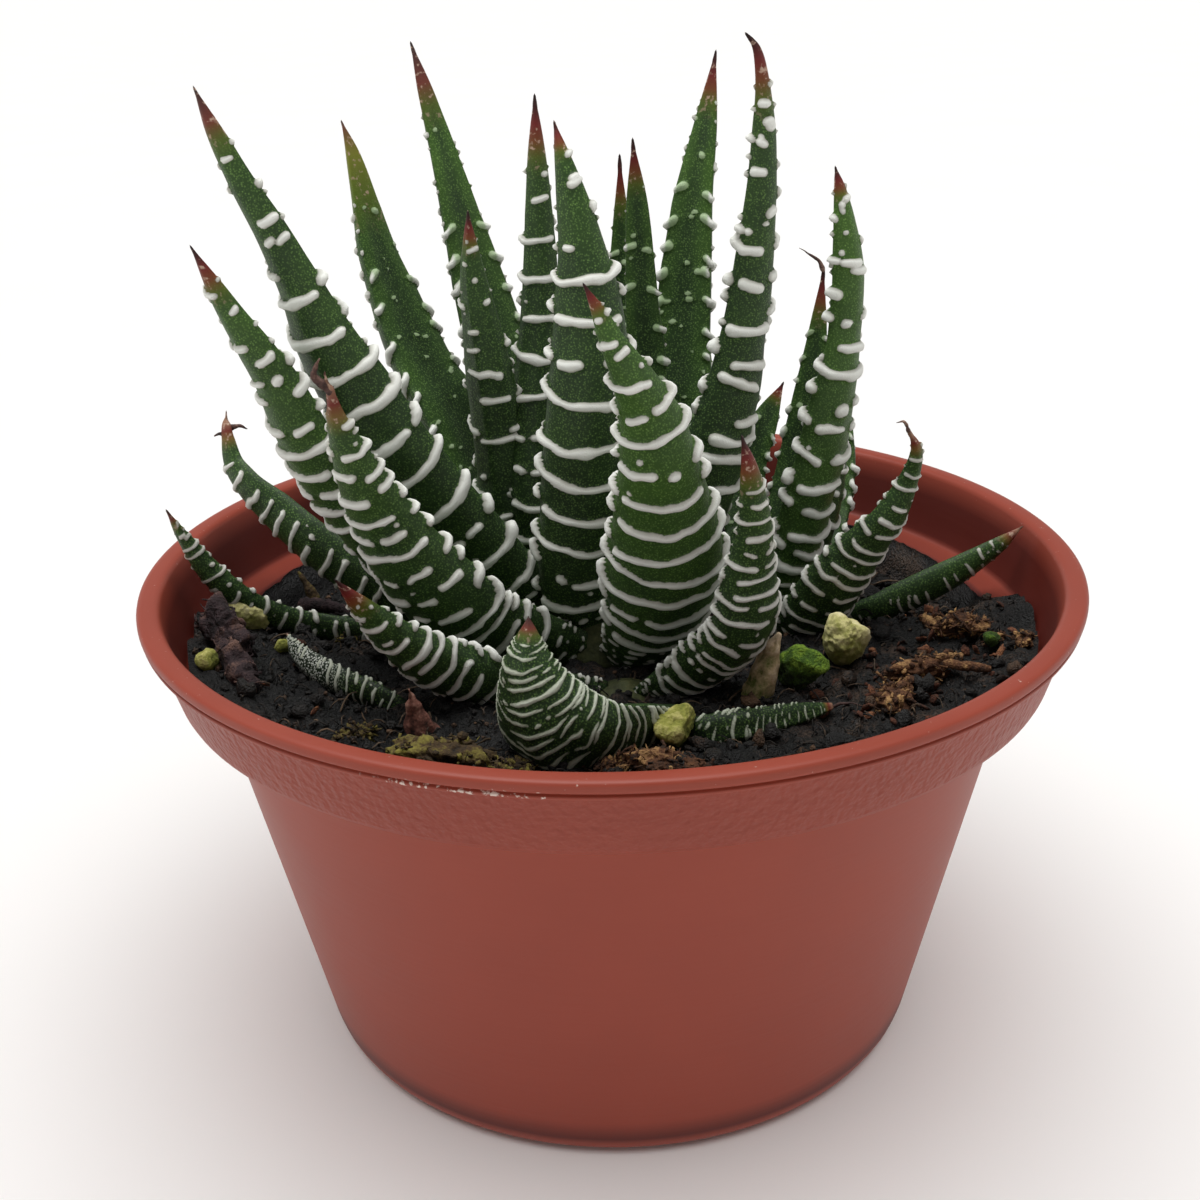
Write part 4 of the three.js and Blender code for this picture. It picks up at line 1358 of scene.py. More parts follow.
    def skin_points(
        self, centre: Array, rows: Array, half: Array, sideways: Array, inner: Array
    ) -> tuple[Array, Array]:
        """Place the smooth skin along the leaf.

        Args:
            centre: the leaf's line.
            rows: the distance of each ring from the root.
            half: half the leaf's width at each ring.
            sideways: the section's sideways reach.
            inner: the section's inward reach.

        Returns:
            The points of each ring, and which way each one looks.
        """
        tangent = unit(np.gradient(centre, rows, axis=0))
        facing = math.radians(self.facing)
        inward = np.array([-math.cos(facing), -math.sin(facing), self.rise])
        normal = unit(inward - (tangent @ inward)[:, None] * tangent)
        side = np.cross(normal, tangent)
        skin = centre[:, None] + side[:, None] * (sideways * half[:, None])[..., None]
        skin = skin + normal[:, None] * (inner * half[:, None])[..., None]
        out = np.cross(np.gradient(skin, axis=0), np.roll(skin, -1, axis=1) - np.roll(skin, 1, axis=1))
        out = unit(out)
        out *= np.sign(np.sum(out * (skin - centre[:, None]), axis=(1, 2)))[:, None, None]
        return skin, out

    def build(self, finish: bpy.types.Material) -> None:
        """Build and dress the leaf.

        Args:
            finish: its material.
        """
        draw = np.random.default_rng(SEED + sum(map(ord, self.name)))
        fine, rows, length = self.centreline()
        along, left = rows / length, length - rows
        half = np.maximum(fine[:, 3] / 2, 0.14 + 0.16 * smoothstep(0.0, 1.5, left))
        pairs = np.clip(self.half_girth * half.max() / self.column_step, *self.column_limits)
        columns = 2 * round(float(pairs))
        shares = -1.0 + 2.0 * np.arange(columns) / columns
        skin, out = self.skin_points(fine[:, :3], rows, half, *self.section(shares, along))
        across = self.half_girth * half[:, None] * shares
        edge, rise = self.field(rows, across, self.lay_warts(rows, half, length, draw))
        flat = skin.reshape(-1, 3)
        swell = 0.1 * value_noise(flat, 5.0, SEED) + 0.03 * value_noise(flat, 1.6, SEED + 5)
        shrunk = self.shrivel * value_noise(flat, 1.1, SEED + 9).reshape(edge.shape)
        shrunk *= (1.0 - smoothstep(0.0, self.tip_length, left))[:, None]
        knobs = 1.0 + self.bar_knob * np.exp(-(((np.abs(shares) - self.outer_share) / 0.07) ** 2))
        lift = rise * knobs + swell.reshape(edge.shape) * np.minimum(1.0, half / 3)[:, None] + shrunk
        end = fine[-1, :3] + 0.3 * unit(fine[-1, :3] - fine[-2, :3])
        points = np.vstack([(skin + out * lift[..., None]).reshape(-1, 3), fine[:1, :3], end[None]])
        tip = np.clip(1.0 - left / self.tip_length, 0.0, 1.0)
        size = np.abs(shares)
        inside = smoothstep(self.outer_share, self.outer_share + 0.1, size)
        chalk = self.chalk - 0.8 * smoothstep(self.outer_share + 0.1, self.outer_share + 0.18, size)
        fold = np.exp(-(((size - 1.0) / 0.13) ** 2))
        fresh = self.fresh + self.fresher_to_tip * (along[:, None] - 0.5)
        fresh = fresh + self.fresher_inside * inside - self.duller_fold * fold
        frost = self.frost * smoothstep(0.42, 0.66, along) * (1.0 - tip)
        marks = {
            "frost": (frost[:, None], 0.0, 0.0),
            "wart": (edge, self.no_wart, self.no_wart),
            "chalk": (chalk, 1.0, 1.0),
            "tip": (tip[:, None], 0.0, 1.0),
            "fresh": (fresh, 0.2, 0.2),
        }
        values = {
            key: np.append(np.broadcast_to(grid, edge.shape).ravel(), ends)
            for key, (grid, *ends) in marks.items()
        }
        body = (points, closed_tube(len(rows), columns))
        piece = make_piece(self.name.replace("leaf_", "blade_"), body, values)
        settle(piece, finish, "leaf_skin", self.name)


LEAVES = (
    Leaf(
        "leaf_front_short", 262, gaps=(0.88, 1.0, 0.82), band=0.36, pattern=Pattern.DENSE,
        bands_until=0.97, keel=0.2, chalk=0.72, tip=Tip.BROWN, tip_length=3.0, fresh=0.12, row_step=0.17,
        column_step=0.3,
        line=(
            (4, -14.5, 48, 12), (0.5, -23, 51.3, 16), (-6, -29.5, 54.7, 16), (-9.3, -31.5, 61.5, 7.6),
            (-9.5, -31, 68, 0),
        ),
    ),
    Leaf(
        "leaf_front_lying", 280, rise=0.15, gaps=(0.9, 0.9, 0.8), band=0.3, pattern=Pattern.FINE,
        bands_until=0.97, keel=0.2, dots=2.0, chalk=0.72, tip=Tip.DRY, tip_length=1.6, fresh=0.08,
        row_step=0.16, column_step=0.24,
        line=(
            (3, -19, 48.5, 3.2), (9, -25, 49.7, 5.2), (13.5, -26, 50.8, 5.4), (17, -25, 50.9, 4.6),
            (21.5, -23.5, 51.1, 3.4), (26.3, -22, 51.4, 0.9),
        ),
    ),
    Leaf(
        "leaf_front_low", 258, rise=0.4, gaps=(1.5, 2.2, 2.0), band=0.9, bands_until=0.8,
        pattern=Pattern.PARTED, tip_length=7.0, row_step=0.25,
        line=(
            (-2, -11.5, 48, 7), (-14.5, -14, 52, 9.6), (-18, -16, 54.5, 10), (-22.5, -18.5, 58, 8.2),
            (-26.5, -21, 62.5, 5.4), (-29.5, -24, 67.5, 2.6), (-31.5, -26, 71, 0),
        ),
    ),
    Leaf(
        "leaf_front_sickle", 298, rise=0.5, gaps=(1.5, 1.9, 2.0), band=0.78, pattern=Pattern.PARTED,
        bands_until=0.86, tip_length=8.0, row_step=0.25,
        line=(
            (2.5, -12, 47.5, 5.6), (8, -14.5, 52.5, 8.4), (12.5, -16, 57, 10.8), (15.5, -18.5, 62, 9),
            (16, -20, 68.5, 6.8), (16.3, -22, 75, 4.4), (15.5, -24, 82, 2.2), (14.5, -25, 86.5, 0),
        ),
    ),
    Leaf(
        "leaf_front_broad", 275, gaps=(2.0, 4.2, 3.4), band=1.2, bands_until=0.84, tip_length=5.0,
        fresh=0.6, row_step=0.25,
        line=(
            (2.5, -1, 48, 9), (5.5, -8, 58.5, 12.6), (6.2, -11, 64, 14.2), (6.5, -14, 70, 13.8),
            (6, -18, 77, 11.2), (5.5, -21, 82.5, 9), (4.5, -23, 88.5, 7), (2.5, -25, 93.5, 4.8),
            (0.5, -26, 97.5, 3), (-1, -26.5, 101, 1.6), (-2.5, -27, 104, 0),
        ),
    ),
    Leaf(
        "leaf_front_left", 248, rise=0.4, gaps=(2.8, 3.1, 2.3), band=1.12, pattern=Pattern.PARTED,
        bands_until=0.86, tip=Tip.DRY, tip_length=8.0, fresh=0.44, shrivel=0.3, row_step=0.25,
        line=(
            (-4, 1, 48, 11), (-17.5, -5.5, 57.5, 14.6), (-21.5, -9, 63.5, 14), (-24.5, -11, 68.5, 12.2),
            (-27, -13, 74, 9.4), (-29, -15.5, 80, 6.6), (-30.7, -18, 87, 3), (-31.5, -20, 93.5, 0),
        ),
    ),
    Leaf(
        "leaf_centre", 268, gaps=(2.6, 5.0, 4.4), band=1.24, tip_length=5.0, row_step=0.25,
        line=(
            (-3, 2, 49, 8.6), (-4.2, -2, 59.5, 10), (-3.5, -4, 68, 11), (-3, -5.5, 75.5, 10.8),
            (-2.5, -6.5, 83.5, 10.2), (-2, -6.5, 91, 9.3), (-2.1, -6, 98, 7.8), (-2.6, -5.5, 103.5, 5.8),
            (-3.5, -5, 109, 4), (-4.7, -4, 114.5, 1.8), (-5.5, -3, 118, 0),
        ),
    ),
    Leaf(
        "leaf_left_high", 246, rise=0.5, gaps=(4.0, 5.0, 5.2), band=1.32, bands_until=0.74, tip=Tip.BROWN,
        tip_length=9.0, fresh=0.4, row_step=0.27,
        line=(
            (-6, 5, 49, 10), (-15, 2.5, 61, 13), (-22.5, 0, 72, 13.2), (-27.7, -1.5, 80.5, 12.6),
            (-31, -2, 87.5, 11.4), (-33.7, -2.7, 93, 9.4), (-36, -3.5, 99.5, 6.6), (-39, -4.5, 107, 4.8),
            (-41.6, -5.2, 112.5, 3.6), (-43.8, -6, 118, 2.4), (-45.5, -7, 123, 0),
        ),
    ),
    Leaf(
        "leaf_left_low", 243, rise=0.5, gaps=(2.8, 3.3, 3.4), band=1.28, pattern=Pattern.PARTED,
        bands_until=0.78, tip_length=8.0, fresh=0.52, row_step=0.27,
        line=(
            (-14, 4, 47.5, 7.5), (-23, 2, 57, 9), (-29, -1, 65.5, 9.4), (-33, -3, 72.5, 9.2),
            (-35.3, -5, 78, 8.8), (-37, -6.5, 83, 8.2), (-39, -8, 89.5, 6.8), (-41, -9.5, 94, 5.4),
            (-43, -10.5, 98, 3.9), (-44.7, -11.5, 102, 2.4), (-46.5, -13, 106.5, 0),
        ),
    ),
    Leaf(
        "leaf_inner_narrow", 265, gaps=(3.2, 5.0, 5.0), band=1.1, tip_length=10.0,
        line=(
            (-7, 6, 55, 4.5), (-9.5, 5, 66, 6.2), (-9.3, 6.5, 79.5, 6.2), (-8.2, 8.5, 95, 4.8),
            (-8, 9, 106, 3.4), (-8, 9, 112, 2.4), (-8, 9, 116, 1.4), (-8, 9, 120, 0),
        ),
    ),
    Leaf(
        "leaf_inner_left", 252, gaps=(2.6, 3.4, 3.4), band=0.95, pattern=Pattern.DASHED, keel=0.2,
        tip_length=6.0,
        line=(
            (-8, 6, 51, 5), (-13.5, 7.5, 65.5, 7), (-14.1, 7.5, 72.5, 7), (-14.5, 7, 80, 6.8),
            (-15, 6, 86.5, 6.4), (-15.6, 5.5, 92.5, 5.2), (-16.3, 5, 99, 3.4), (-16.5, 4.5, 104, 1.4),
            (-16.5, 4, 107, 0),
        ),
    ),
    Leaf(
        "leaf_right_tall", 296, rise=0.7, gaps=(2.6, 3.3, 4.6), band=1.5, pattern=Pattern.DASHED,
        bands_until=0.7, tip_length=11.0, fresh=0.38, row_step=0.27,
        line=(
            (4, 5, 51, 8), (9, 5.5, 61, 10), (12, 5.5, 69.5, 10.4), (14, 5, 77, 10), (15.8, 4.5, 83, 8.4),
            (17, 4, 90, 6.9), (18, 3.5, 96.5, 5.9), (18.6, 2.5, 103.5, 4.9), (19, 1.5, 110, 3.9),
            (19.1, 1, 116, 3), (18.8, 0, 121, 1.9), (18, -1, 125, 1), (16.5, -2, 127, 0),
        ),
    ),
    Leaf(
        "leaf_back_left", 140, gaps=(3.2, 4.4, 4.8), band=1.05, pattern=Pattern.TOOTHED, bands_until=0.72,
        dots=1.5, tip=Tip.GOLD, tip_length=16.0, fresh=0.42,
        line=(
            (-8, 9, 50, 9), (-15.5, 14, 65, 11.4), (-21, 18.5, 78, 11.2), (-24, 20.5, 82.5, 10.5),
            (-26.3, 22.5, 87, 9.6), (-28.4, 24.5, 92, 8.4), (-30.5, 26, 98, 6.5), (-32, 27.5, 104.5, 4.4),
            (-33.5, 29, 111, 2.3), (-35, 30, 115.5, 0),
        ),
    ),
    Leaf(
        "leaf_back_left_tall", 118, gaps=(3.4, 4.6, 5.0), band=1.0, pattern=Pattern.TOOTHED,
        bands_until=0.7, dots=0.8, tip=Tip.BROWN, tip_length=12.0, fresh=0.5,
        line=(
            (-5, 9, 53, 9), (-11, 15, 77, 9.8), (-15, 19, 88.5, 9), (-16.5, 20.5, 94, 7.9),
            (-17.7, 21.5, 99, 6.8), (-19, 22.5, 104.5, 5.4), (-20.4, 23.7, 110, 4.2),
            (-21.6, 25, 114.5, 3.2), (-23, 25.5, 120, 2), (-24.5, 26, 125.5, 0),
        ),
    ),
    Leaf(
        "leaf_back_right_tall", 68, gaps=(2.8, 3.8, 4.4), band=1.05, pattern=Pattern.TOOTHED,
        bands_until=0.75, dots=1.5, tip_length=9.0, fresh=0.5,
        line=(
            (3, 9, 53, 8.5), (9, 17, 76, 9.8), (10.5, 21, 87.5, 8.4), (12, 24, 102.5, 6),
            (14, 26, 114, 3.3), (15.5, 27, 123.5, 0),
        ),
    ),
    Leaf(
        "leaf_young_right", 80, gaps=(3.6, 4.5, 5.0), band=0.85, pattern=Pattern.TOOTHED, dots=0.6,
        tip_length=8.0, fresh=0.42,
        line=(
            (1.5, 8, 57, 5.5), (5.3, 14, 80, 5.6), (5, 15, 93, 4.4), (4.5, 15, 105.5, 2.8),
            (4, 14, 114, 0),
        ),
    ),
    Leaf(
        "leaf_young_left", 92, gaps=(3.6, 4.5, 5.0), band=0.8, pattern=Pattern.TOOTHED, dots=0.4,
        tip_length=9.0, fresh=0.42,
        line=((-1, 8.5, 57, 4.5), (1, 17, 79, 4), (2, 20, 88, 3.6), (2.5, 22, 99, 2.8), (2.5, 23, 111, 0)),
    ),
    Leaf(
        "leaf_far_right_low", 290, rise=0.5, gaps=(2.0, 2.2, 1.9), band=0.75, pattern=Pattern.PARTED,
        bands_until=0.88, tip=Tip.DRY, tip_length=5.0, shrivel=0.25, row_step=0.27,
        line=(
            (20, 8, 47.5, 6), (26, 4, 51.5, 9.8), (29, 0.5, 58.5, 9.8), (32.2, -1, 64, 7.9),
            (35.3, -3, 68.7, 5.2), (37.3, -4, 73.5, 3.1), (38, -5.5, 78, 1.6), (36.5, -7, 81.5, 0),
        ),
    ),
    Leaf(
        "leaf_far_right_tall", 308, rise=0.7, gaps=(2.4, 3.7, 3.6), band=1.42, pattern=Pattern.PARTED,
        bands_until=0.74, dots=1.6, tip_length=5.0, fresh=0.66, row_step=0.27,
        line=(
            (22, 9, 48.5, 6.4), (25.3, 9.5, 61, 9.2), (26.5, 9, 67, 9.2), (27.8, 8.5, 73, 8.9),
            (29, 8, 80.5, 7.8), (30, 7.5, 86.5, 6.2), (30.5, 7.5, 92, 5.4), (30.6, 7, 97.5, 4.8),
            (30, 6.5, 103, 3.6), (29.2, 6.3, 108, 1.8), (28.5, 6, 111, 0),
        ),
    ),
    Leaf(
        "leaf_far_right_inner", 318, gaps=(2.6, 3.6, 3.2), band=1.0, pattern=Pattern.PARTED,
        tip_length=5.0,
        line=(
            (23, 11.5, 48, 5), (27.5, 15, 56, 7), (30, 15.5, 64.5, 6.5), (31.5, 16, 73, 3.4),
            (32, 16, 79.5, 0),
        ),
    ),
    Leaf(
        "leaf_right_thin", 285, rise=0.3, gaps=(1.08, 1.3, 1.08), band=0.5, pattern=Pattern.DASHED,
        span=(-0.5, 0.6), bands_until=0.8, dots=2.0, tip=Tip.DRY, tip_length=4.0,
        line=(
            (25, 8.5, 48, 3.6), (35, 6, 51.7, 4.8), (38.5, 6, 53.2, 5.3), (42.7, 6, 55.2, 5.4),
            (47.2, 6, 57.7, 4.6), (52.3, 6, 61, 2.6), (55.5, 6, 63.5, 0),
        ),
    ),
    Leaf(
        "leaf_left_hooked", 215, rise=0.2, gaps=(2.5, 2.8, 2.3), band=0.85, span=(-1.0, 0.65),
        bands_until=0.9, tip=Tip.DRY, tip_length=5.5, fresh=0.3, shrivel=0.3,
        line=(
            (-18, 7, 47, 6), (-27, 7.5, 53, 9.5), (-34, 9, 58, 9.9), (-40.5, 11, 62.7, 9),
            (-45.2, 13, 66.5, 7.8), (-48.7, 14, 69.5, 6), (-50.8, 15.5, 72, 4.6), (-51.8, 16.5, 76, 2.4),
            (-52, 17, 79, 0),
        ),
    ),
    Leaf(
        "leaf_left_thin", 255, rise=0.3, gaps=(2.2, 2.3, 1.4), band=0.72, pattern=Pattern.PARTED,
        bands_until=0.9, tip=Tip.BROWN, tip_length=3.5, fresh=0.28,
        line=(
            (-21, 6, 48, 4.6), (-31, 4, 50.5, 5), (-39, 3, 52.7, 4.6), (-43, 2.5, 54, 4.4),
            (-47, 1.5, 56.3, 4.4), (-50.2, 0.5, 59.5, 4.3), (-52.8, 0, 63, 3.6), (-55, -1, 67.5, 2),
            (-56.5, -2, 71.5, 0),
        ),
    ),
    Leaf(
        "leaf_sprout_left", 260, rise=0.2, gaps=(1.5, 1.3, 1.0), band=0.46, pattern=Pattern.PARTED,
        bands_until=0.6, dots=1.0, chalk=0.8, frost=0.9, tip=Tip.BROWN, tip_length=0.8, fresh=-0.1,
        row_step=0.16, column_step=0.24,
        line=(
            (-23, -18.5, 48, 3), (-29, -16, 51, 3.9), (-33.5, -13.5, 52, 4.3), (-36.8, -11, 52.6, 4.5),
            (-40, -8.5, 53.9, 3), (-42, -6, 55.7, 0),
        ),
    ),
    Leaf(
        "leaf_far_right_hidden", 60, gaps=(3.0, 3.8, 3.8), band=0.9, tip_length=9.0, row_step=0.42,
        line=((22, 12, 52.5, 5), (26, 17.5, 67, 6), (28.5, 19.5, 82, 4), (29.8, 21, 96, 0)),
    ),
    Leaf(
        "leaf_far_right_back", 95, gaps=(3.0, 3.4, 3.2), band=0.9, tip_length=4.0, row_step=0.42,
        line=((20, 12, 51.5, 5.5), (19.5, 22, 65.5, 6), (22.5, 25, 73, 4), (25.5, 27, 78.5, 0)),
    ),
    Leaf(
        "leaf_rear_left", 128, gaps=(3.0, 4.4, 4.0), band=1.1, tip_length=7.0, row_step=0.42,
        column_step=0.56,
        line=((-6, 9, 47.5, 8), (-15, 23, 54, 9.5), (-23, 33, 67, 7.5), (-28, 39, 84, 0)),
    ),
    Leaf(
        "leaf_rear_middle", 95, gaps=(3.0, 4.6, 4.0), band=1.1, tip_length=8.0, row_step=0.42,
        column_step=0.56,
        line=((-2, 10, 48, 8), (-2.5, 26, 56, 10.5), (-4, 36, 71, 8), (-5, 41, 91, 0)),
    ),
    Leaf(
        "leaf_rear_right", 65, gaps=(3.0, 4.4, 4.0), band=1.1, pattern=Pattern.PARTED, tip=Tip.BROWN,
        tip_length=8.0, row_step=0.42, column_step=0.56,
        line=((2, 9.5, 47.5, 8), (9.5, 26, 54, 9.5), (13.5, 36, 67, 7.5), (15.5, 42, 85, 0)),
    ),
    Leaf(
        "leaf_rear_far_right", 55, gaps=(2.6, 3.6, 3.4), band=1.0, pattern=Pattern.PARTED, tip_length=6.0,
        row_step=0.42, column_step=0.56,
        line=((24, 12, 48, 6), (30, 23, 54, 7.5), (34, 31, 64, 6), (36, 36, 77, 0)),
    ),
    Leaf(
        "leaf_rear_far_left", 125, gaps=(2.6, 3.4, 3.2), band=1.0, pattern=Pattern.PARTED, tip_length=5.0,
        row_step=0.42, column_step=0.56,
        line=((-21, 9, 47.5, 5), (-28, 20, 54, 6.5), (-32, 27, 62, 5), (-34, 31, 72, 0)),
    ),
)


@dataclass(frozen=True)
class Crown:
    """A short stem that a rosette grows from, ringed by the scars of shed leaves."""

    name: str
    x: float
    y: float
    radius: float
    shoulder: float
    top: float

    depth = 14.0
    places = (0.0, 0.6, 0.82, 1.0)
    shares = (0.9, 1.0, 0.72, 0.02)
    around = 48
    rings = 36

    def build(self, finish: bpy.types.Material) -> None:
        """Build and dress the stem.

        Args:
            finish: its material.
        """
        foot = self.shoulder - self.depth
        dome = self.shoulder + 0.65 * (self.top - self.shoulder)
        places = np.linspace(0.0, 1.0, self.rings)
        radius = self.radius * np.interp(places, self.places, self.shares)
        level = np.interp(places, self.places, (foot, self.shoulder, dome, self.top))
        radius = radius * (1.0 + 0.03 * np.sin(level * 3.6)) - 0.03 * self.radius
        angle = full_turn(self.around)
        x = self.x + np.outer(radius, np.cos(angle))
        y = self.y + np.outer(radius, np.sin(angle))
        rings = np.stack([x, y, np.repeat(level[:, None], self.around, axis=1)], axis=-1)
        ends = [[self.x, self.y, foot], [self.x, self.y, self.top]]
        points = np.vstack([rings.reshape(-1, 3), ends])
        values = {"tint": 0.2 * value_noise(points, 2.0, SEED)}
        name = self.name.replace("stem_", "crown_")
        piece = make_piece(name, (points, closed_tube(self.rings, self.around)), values)
        settle(piece, finish, "stem_skin", self.name)


CROWNS = (
    Crown("stem_main", -2, 5, 10.5, 50, 60),
    Crown("stem_right", 23, 10, 6.5, 49, 55),
    Crown("stem_left", -20, 7.5, 5, 47.5, 51),
    Crown("stem_front", 1.5, -13.5, 5, 47.5, 51.5),
)


class Matter(Enum):
    """What a loose bit on the mix is.

    Each has its finish, its material slot, how rough it is, how streaky, how sharp its edges are
    and how many small crumbs cling to it.
    """

    PERLITE = (GREEN_PERLITE, "perlite", 0.14, 1.0, 6.0, 0)
    PALE = (PALE_PERLITE, "perlite", 0.09, 1.0, 3.4, 0)
    MOSS = (MOSS, "moss", 0.12, 1.0, 4.0, 0)
    DRY = (DRY_MOSS, "moss", 0.3, 1.0, 4.0, 150)
    BARK = (PINE_BARK, "bark", 0.3, 0.4, 6.0, 150)
    DARK = (DARK_BARK, "bark", 0.22, 0.35, 12.0, 60)
    HUSK = (HUSK, "dry_leaf", 0.2, 0.4, 4.0, 0)


@dataclass(frozen=True)
class Bit:
    """A loose bit: its centre, half sizes, and its turn about Z and lean in degrees.

    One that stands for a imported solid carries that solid's name; the others are smaller litter.
    """

    name: str
    matter: Matter
    at: Point
    half: Point
    turn: float = 0.0
    lean: float = 0.0
    litter: bool = False

    facets = 14
    grains = ((1.6, 1.0), (0.8, 0.6), (0.4, 0.35))
    large_from = 2.0

    def lump(self, level: int, seed: int) -> tuple[Body, Array]:
        """Shape the main lump about the origin.

        Args:
            level: how fine its mesh is.
            seed: picks its facets, pits and ridges.

        Returns:
            Its points and faces, and its tint.
        """
        _, _, rough, streak, sharp, _ = self.matter.value
        shape, faces = ball(level)
        draw = np.random.default_rng(seed)
        looks = unit(draw.normal(size=(self.facets, 3)))
        depth = draw.uniform(0.75, 1.0, self.facets)
        nearness = np.maximum(shape @ looks.T, 0.0) / depth
        reach = np.minimum((nearness**sharp).sum(axis=1) ** (-1.0 / sharp), 1.15)
        stretched = shape * np.array(self.half) * np.array([streak, 1.0, 1.0])
        for cell, share in self.grains:
            reach = reach + share * rough * value_noise(stretched, cell, seed + round(cell * 5))
        points = shape * np.array(self.half) * reach[:, None]
        tint = 0.25 * value_noise(stretched, 1.2, seed + 4) + 0.5 * (reach - 1.0) + 0.14 * shape[:, 2]
        return (points, [faces]), tint

    def crumbs(self, lump: Array, count: int, seed: int) -> tuple[list[Body], list[Array]]:
        """Stick small crumbs and fibres onto the lump.

        Args:
            lump: the lump's points.
            count: how many of them.
            seed: picks them.

        Returns:
            Their bodies, and a tint for each one's points.
        """
        draw = np.random.default_rng(seed)
        shape, faces = ball(1)
        bodies, tints = [], []
        for i in range(count):
            spot = lump[draw.integers(len(lump))] * draw.uniform(0.9, 1.12)
            if i % 2:
                ahead = unit(draw.normal(size=3) * (1.0, 1.0, 0.45)) * draw.uniform(0.5, 1.3)
                line = spot + np.linspace(-1, 1, 5)[:, None] * ahead + draw.uniform(-0.12, 0.12, (5, 3))
                bodies.append(strand(line, draw.uniform(0.1, 0.24) * np.linspace(1.0, 0.4, 5), 5))
            else:
                size = draw.uniform(0.35, 0.85) * draw.uniform(0.7, 1.3, 3) * (1.0, 0.7, 0.3)
                flake = shape * size * draw.uniform(0.7, 1.2, (len(shape), 1))
                bodies.append((flake @ np.linalg.qr(draw.normal(size=(3, 3)))[0] + spot, [faces]))
            tints.append(np.full(len(bodies[-1][0]), draw.uniform(-0.3, 0.4)))
        return bodies, tints

    def build(self, finishes: dict[Matter, bpy.types.Material], seed: int) -> None:
        """Build and dress the bit as a rough, faceted lump with its crumbs.

        Args:
            finishes: the material of each matter.
            seed: picks its random shape.
        """
        _, slot, _, _, _, count = self.matter.value
        large = max(self.half) > self.large_from
        lump, tint = self.lump(5 if large else 4, seed)
        bodies, tints = self.crumbs(lump[0], count if large else count // 4, seed + 7)
        points, faces = gather([lump, *bodies])
        lean = Matrix.Rotation(math.radians(self.lean), 3, "X")
        turn = Matrix.Rotation(math.radians(self.turn), 3, "Z")
        points = points @ np.array(turn @ lean).T + np.array(self.at)
        values = {"tint": np.concatenate([tint, *tints])}
        piece = make_piece("bit_" + self.name, (points, faces), values)
        settle(piece, finishes[self.matter], slot, *(() if self.litter else (self.name,)))


BITS = (
    Bit("perlite_left", Matter.PALE, (-48.6, 0.4, 56), (3.2, 2.8, 3), 20, 10),
    Bit("perlite_far_left", Matter.PERLITE, (-50.3, -13.7, 55.4), (1.6, 1.5, 1.7)),
    Bit("bark_left", Matter.DARK, (-49.2, -8.6, 56.9), (2.1, 5.4, 4.1), 43, 19),
    Bit("bark_foot_left", Matter.DARK, (-46.6, -14.6, 54.2), (1.9, 5.2, 3.3), 37, 18, litter=True),
    Bit("perlite_front", Matter.PERLITE, (6.6, -29, 52.6), (3, 2.4, 2.6), 35),
    Bit("moss_right", Matter.MOSS, (22.9, -15.4, 53), (3.6, 3, 3)),
    Bit("perlite_right", Matter.PALE, (29, -10.4, 54.8), (3.3, 2.9, 4.3), 10, 14),
    Bit("bark_right", Matter.BARK, (38, -17.6, 54), (6, 1.9, 1.7), 24, 8),
    Bit("bark_right_front", Matter.BARK, (33.5, -22.4, 52.8), (3.4, 2.4, 1.8), 70),
    Bit("bark_right_rear", Matter.BARK, (45, -7, 55), (3.2, 1.8, 1.6), 150),
    Bit("moss_bit_right", Matter.MOSS, (47.6, -11.6, 54.9), (1.3, 1.1, 1.2)),
    Bit("moss_patch_front", Matter.DRY, (-19.5, -33, 52), (6.4, 3, 1.8), 8),
    Bit("bark_front", Matter.BARK, (5.4, -35.6, 51.8), (4.2, 2.6, 1.7), 170),
    Bit("chip_right", Matter.BARK, (48.4, -10.3, 54.6), (1.5, 0.8, 0.6), 20, litter=True),
    Bit("chip_rim", Matter.BARK, (51.4, -13.2, 55.6), (1.4, 1.0, 0.8), 60, litter=True),
    Bit("crumb_rear", Matter.BARK, (42.0, -2.6, 53.0), (2.0, 1.2, 0.9), 100, litter=True),
    Bit("algae_left", Matter.PERLITE, (-42.8, -4.3, 53.2), (1.4, 1.1, 1.1), litter=True),
    Bit("moss_rear_left", Matter.DRY, (-35.5, 3.2, 51.4), (3.2, 1.8, 1.0), 20, litter=True),
    Bit("moss_front_left", Matter.DRY, (-30.4, -27.2, 51.9), (2.6, 1.2, 0.8), 30, litter=True),
    Bit("moss_front_mid", Matter.DRY, (-11.6, -35.2, 51.2), (2.4, 1.5, 0.9), litter=True),
    Bit("chip_front", Matter.BARK, (-0.6, -35.0, 51.2), (1.8, 1.0, 0.8), 15, litter=True),
)


@dataclass(frozen=True)
class Wisp:
    """A thin crooked thread, such as a dried leaf end or a twig.

    The line holds the points it passes through, and the width is at its thick end.
    """

    name: str
    matter: Matter
    line: tuple[Point, ...]
    width: float
    taper: float = 0.85

    rings = 36
    sides = 10

    def build(self, finishes: dict[Matter, bpy.types.Material], seed: int) -> None:
        """Build and dress the thread.

        Args:
            finishes: the material of each matter.
            seed: picks its random shape.
        """
        shares = np.linspace(0.0, 1.0, self.rings)
        line = catmull(np.array(self.line), shares)
        for axis in range(3):
            line[:, axis] += 0.1 * value_noise(line, 0.9, seed + axis) * (shares > 0)
        radius = 0.5 * self.width * (1.0 - self.taper * shares**1.4)
        radius = radius * (1.0 + 0.25 * value_noise(line, 0.5, seed + 5))
        body = strand(line, radius, self.sides)
        tint = 0.35 * value_noise(body[0], 0.8, seed + 6)
        settle(make_piece(self.name, body, {"tint": tint}), finishes[self.matter], self.matter.value[1])


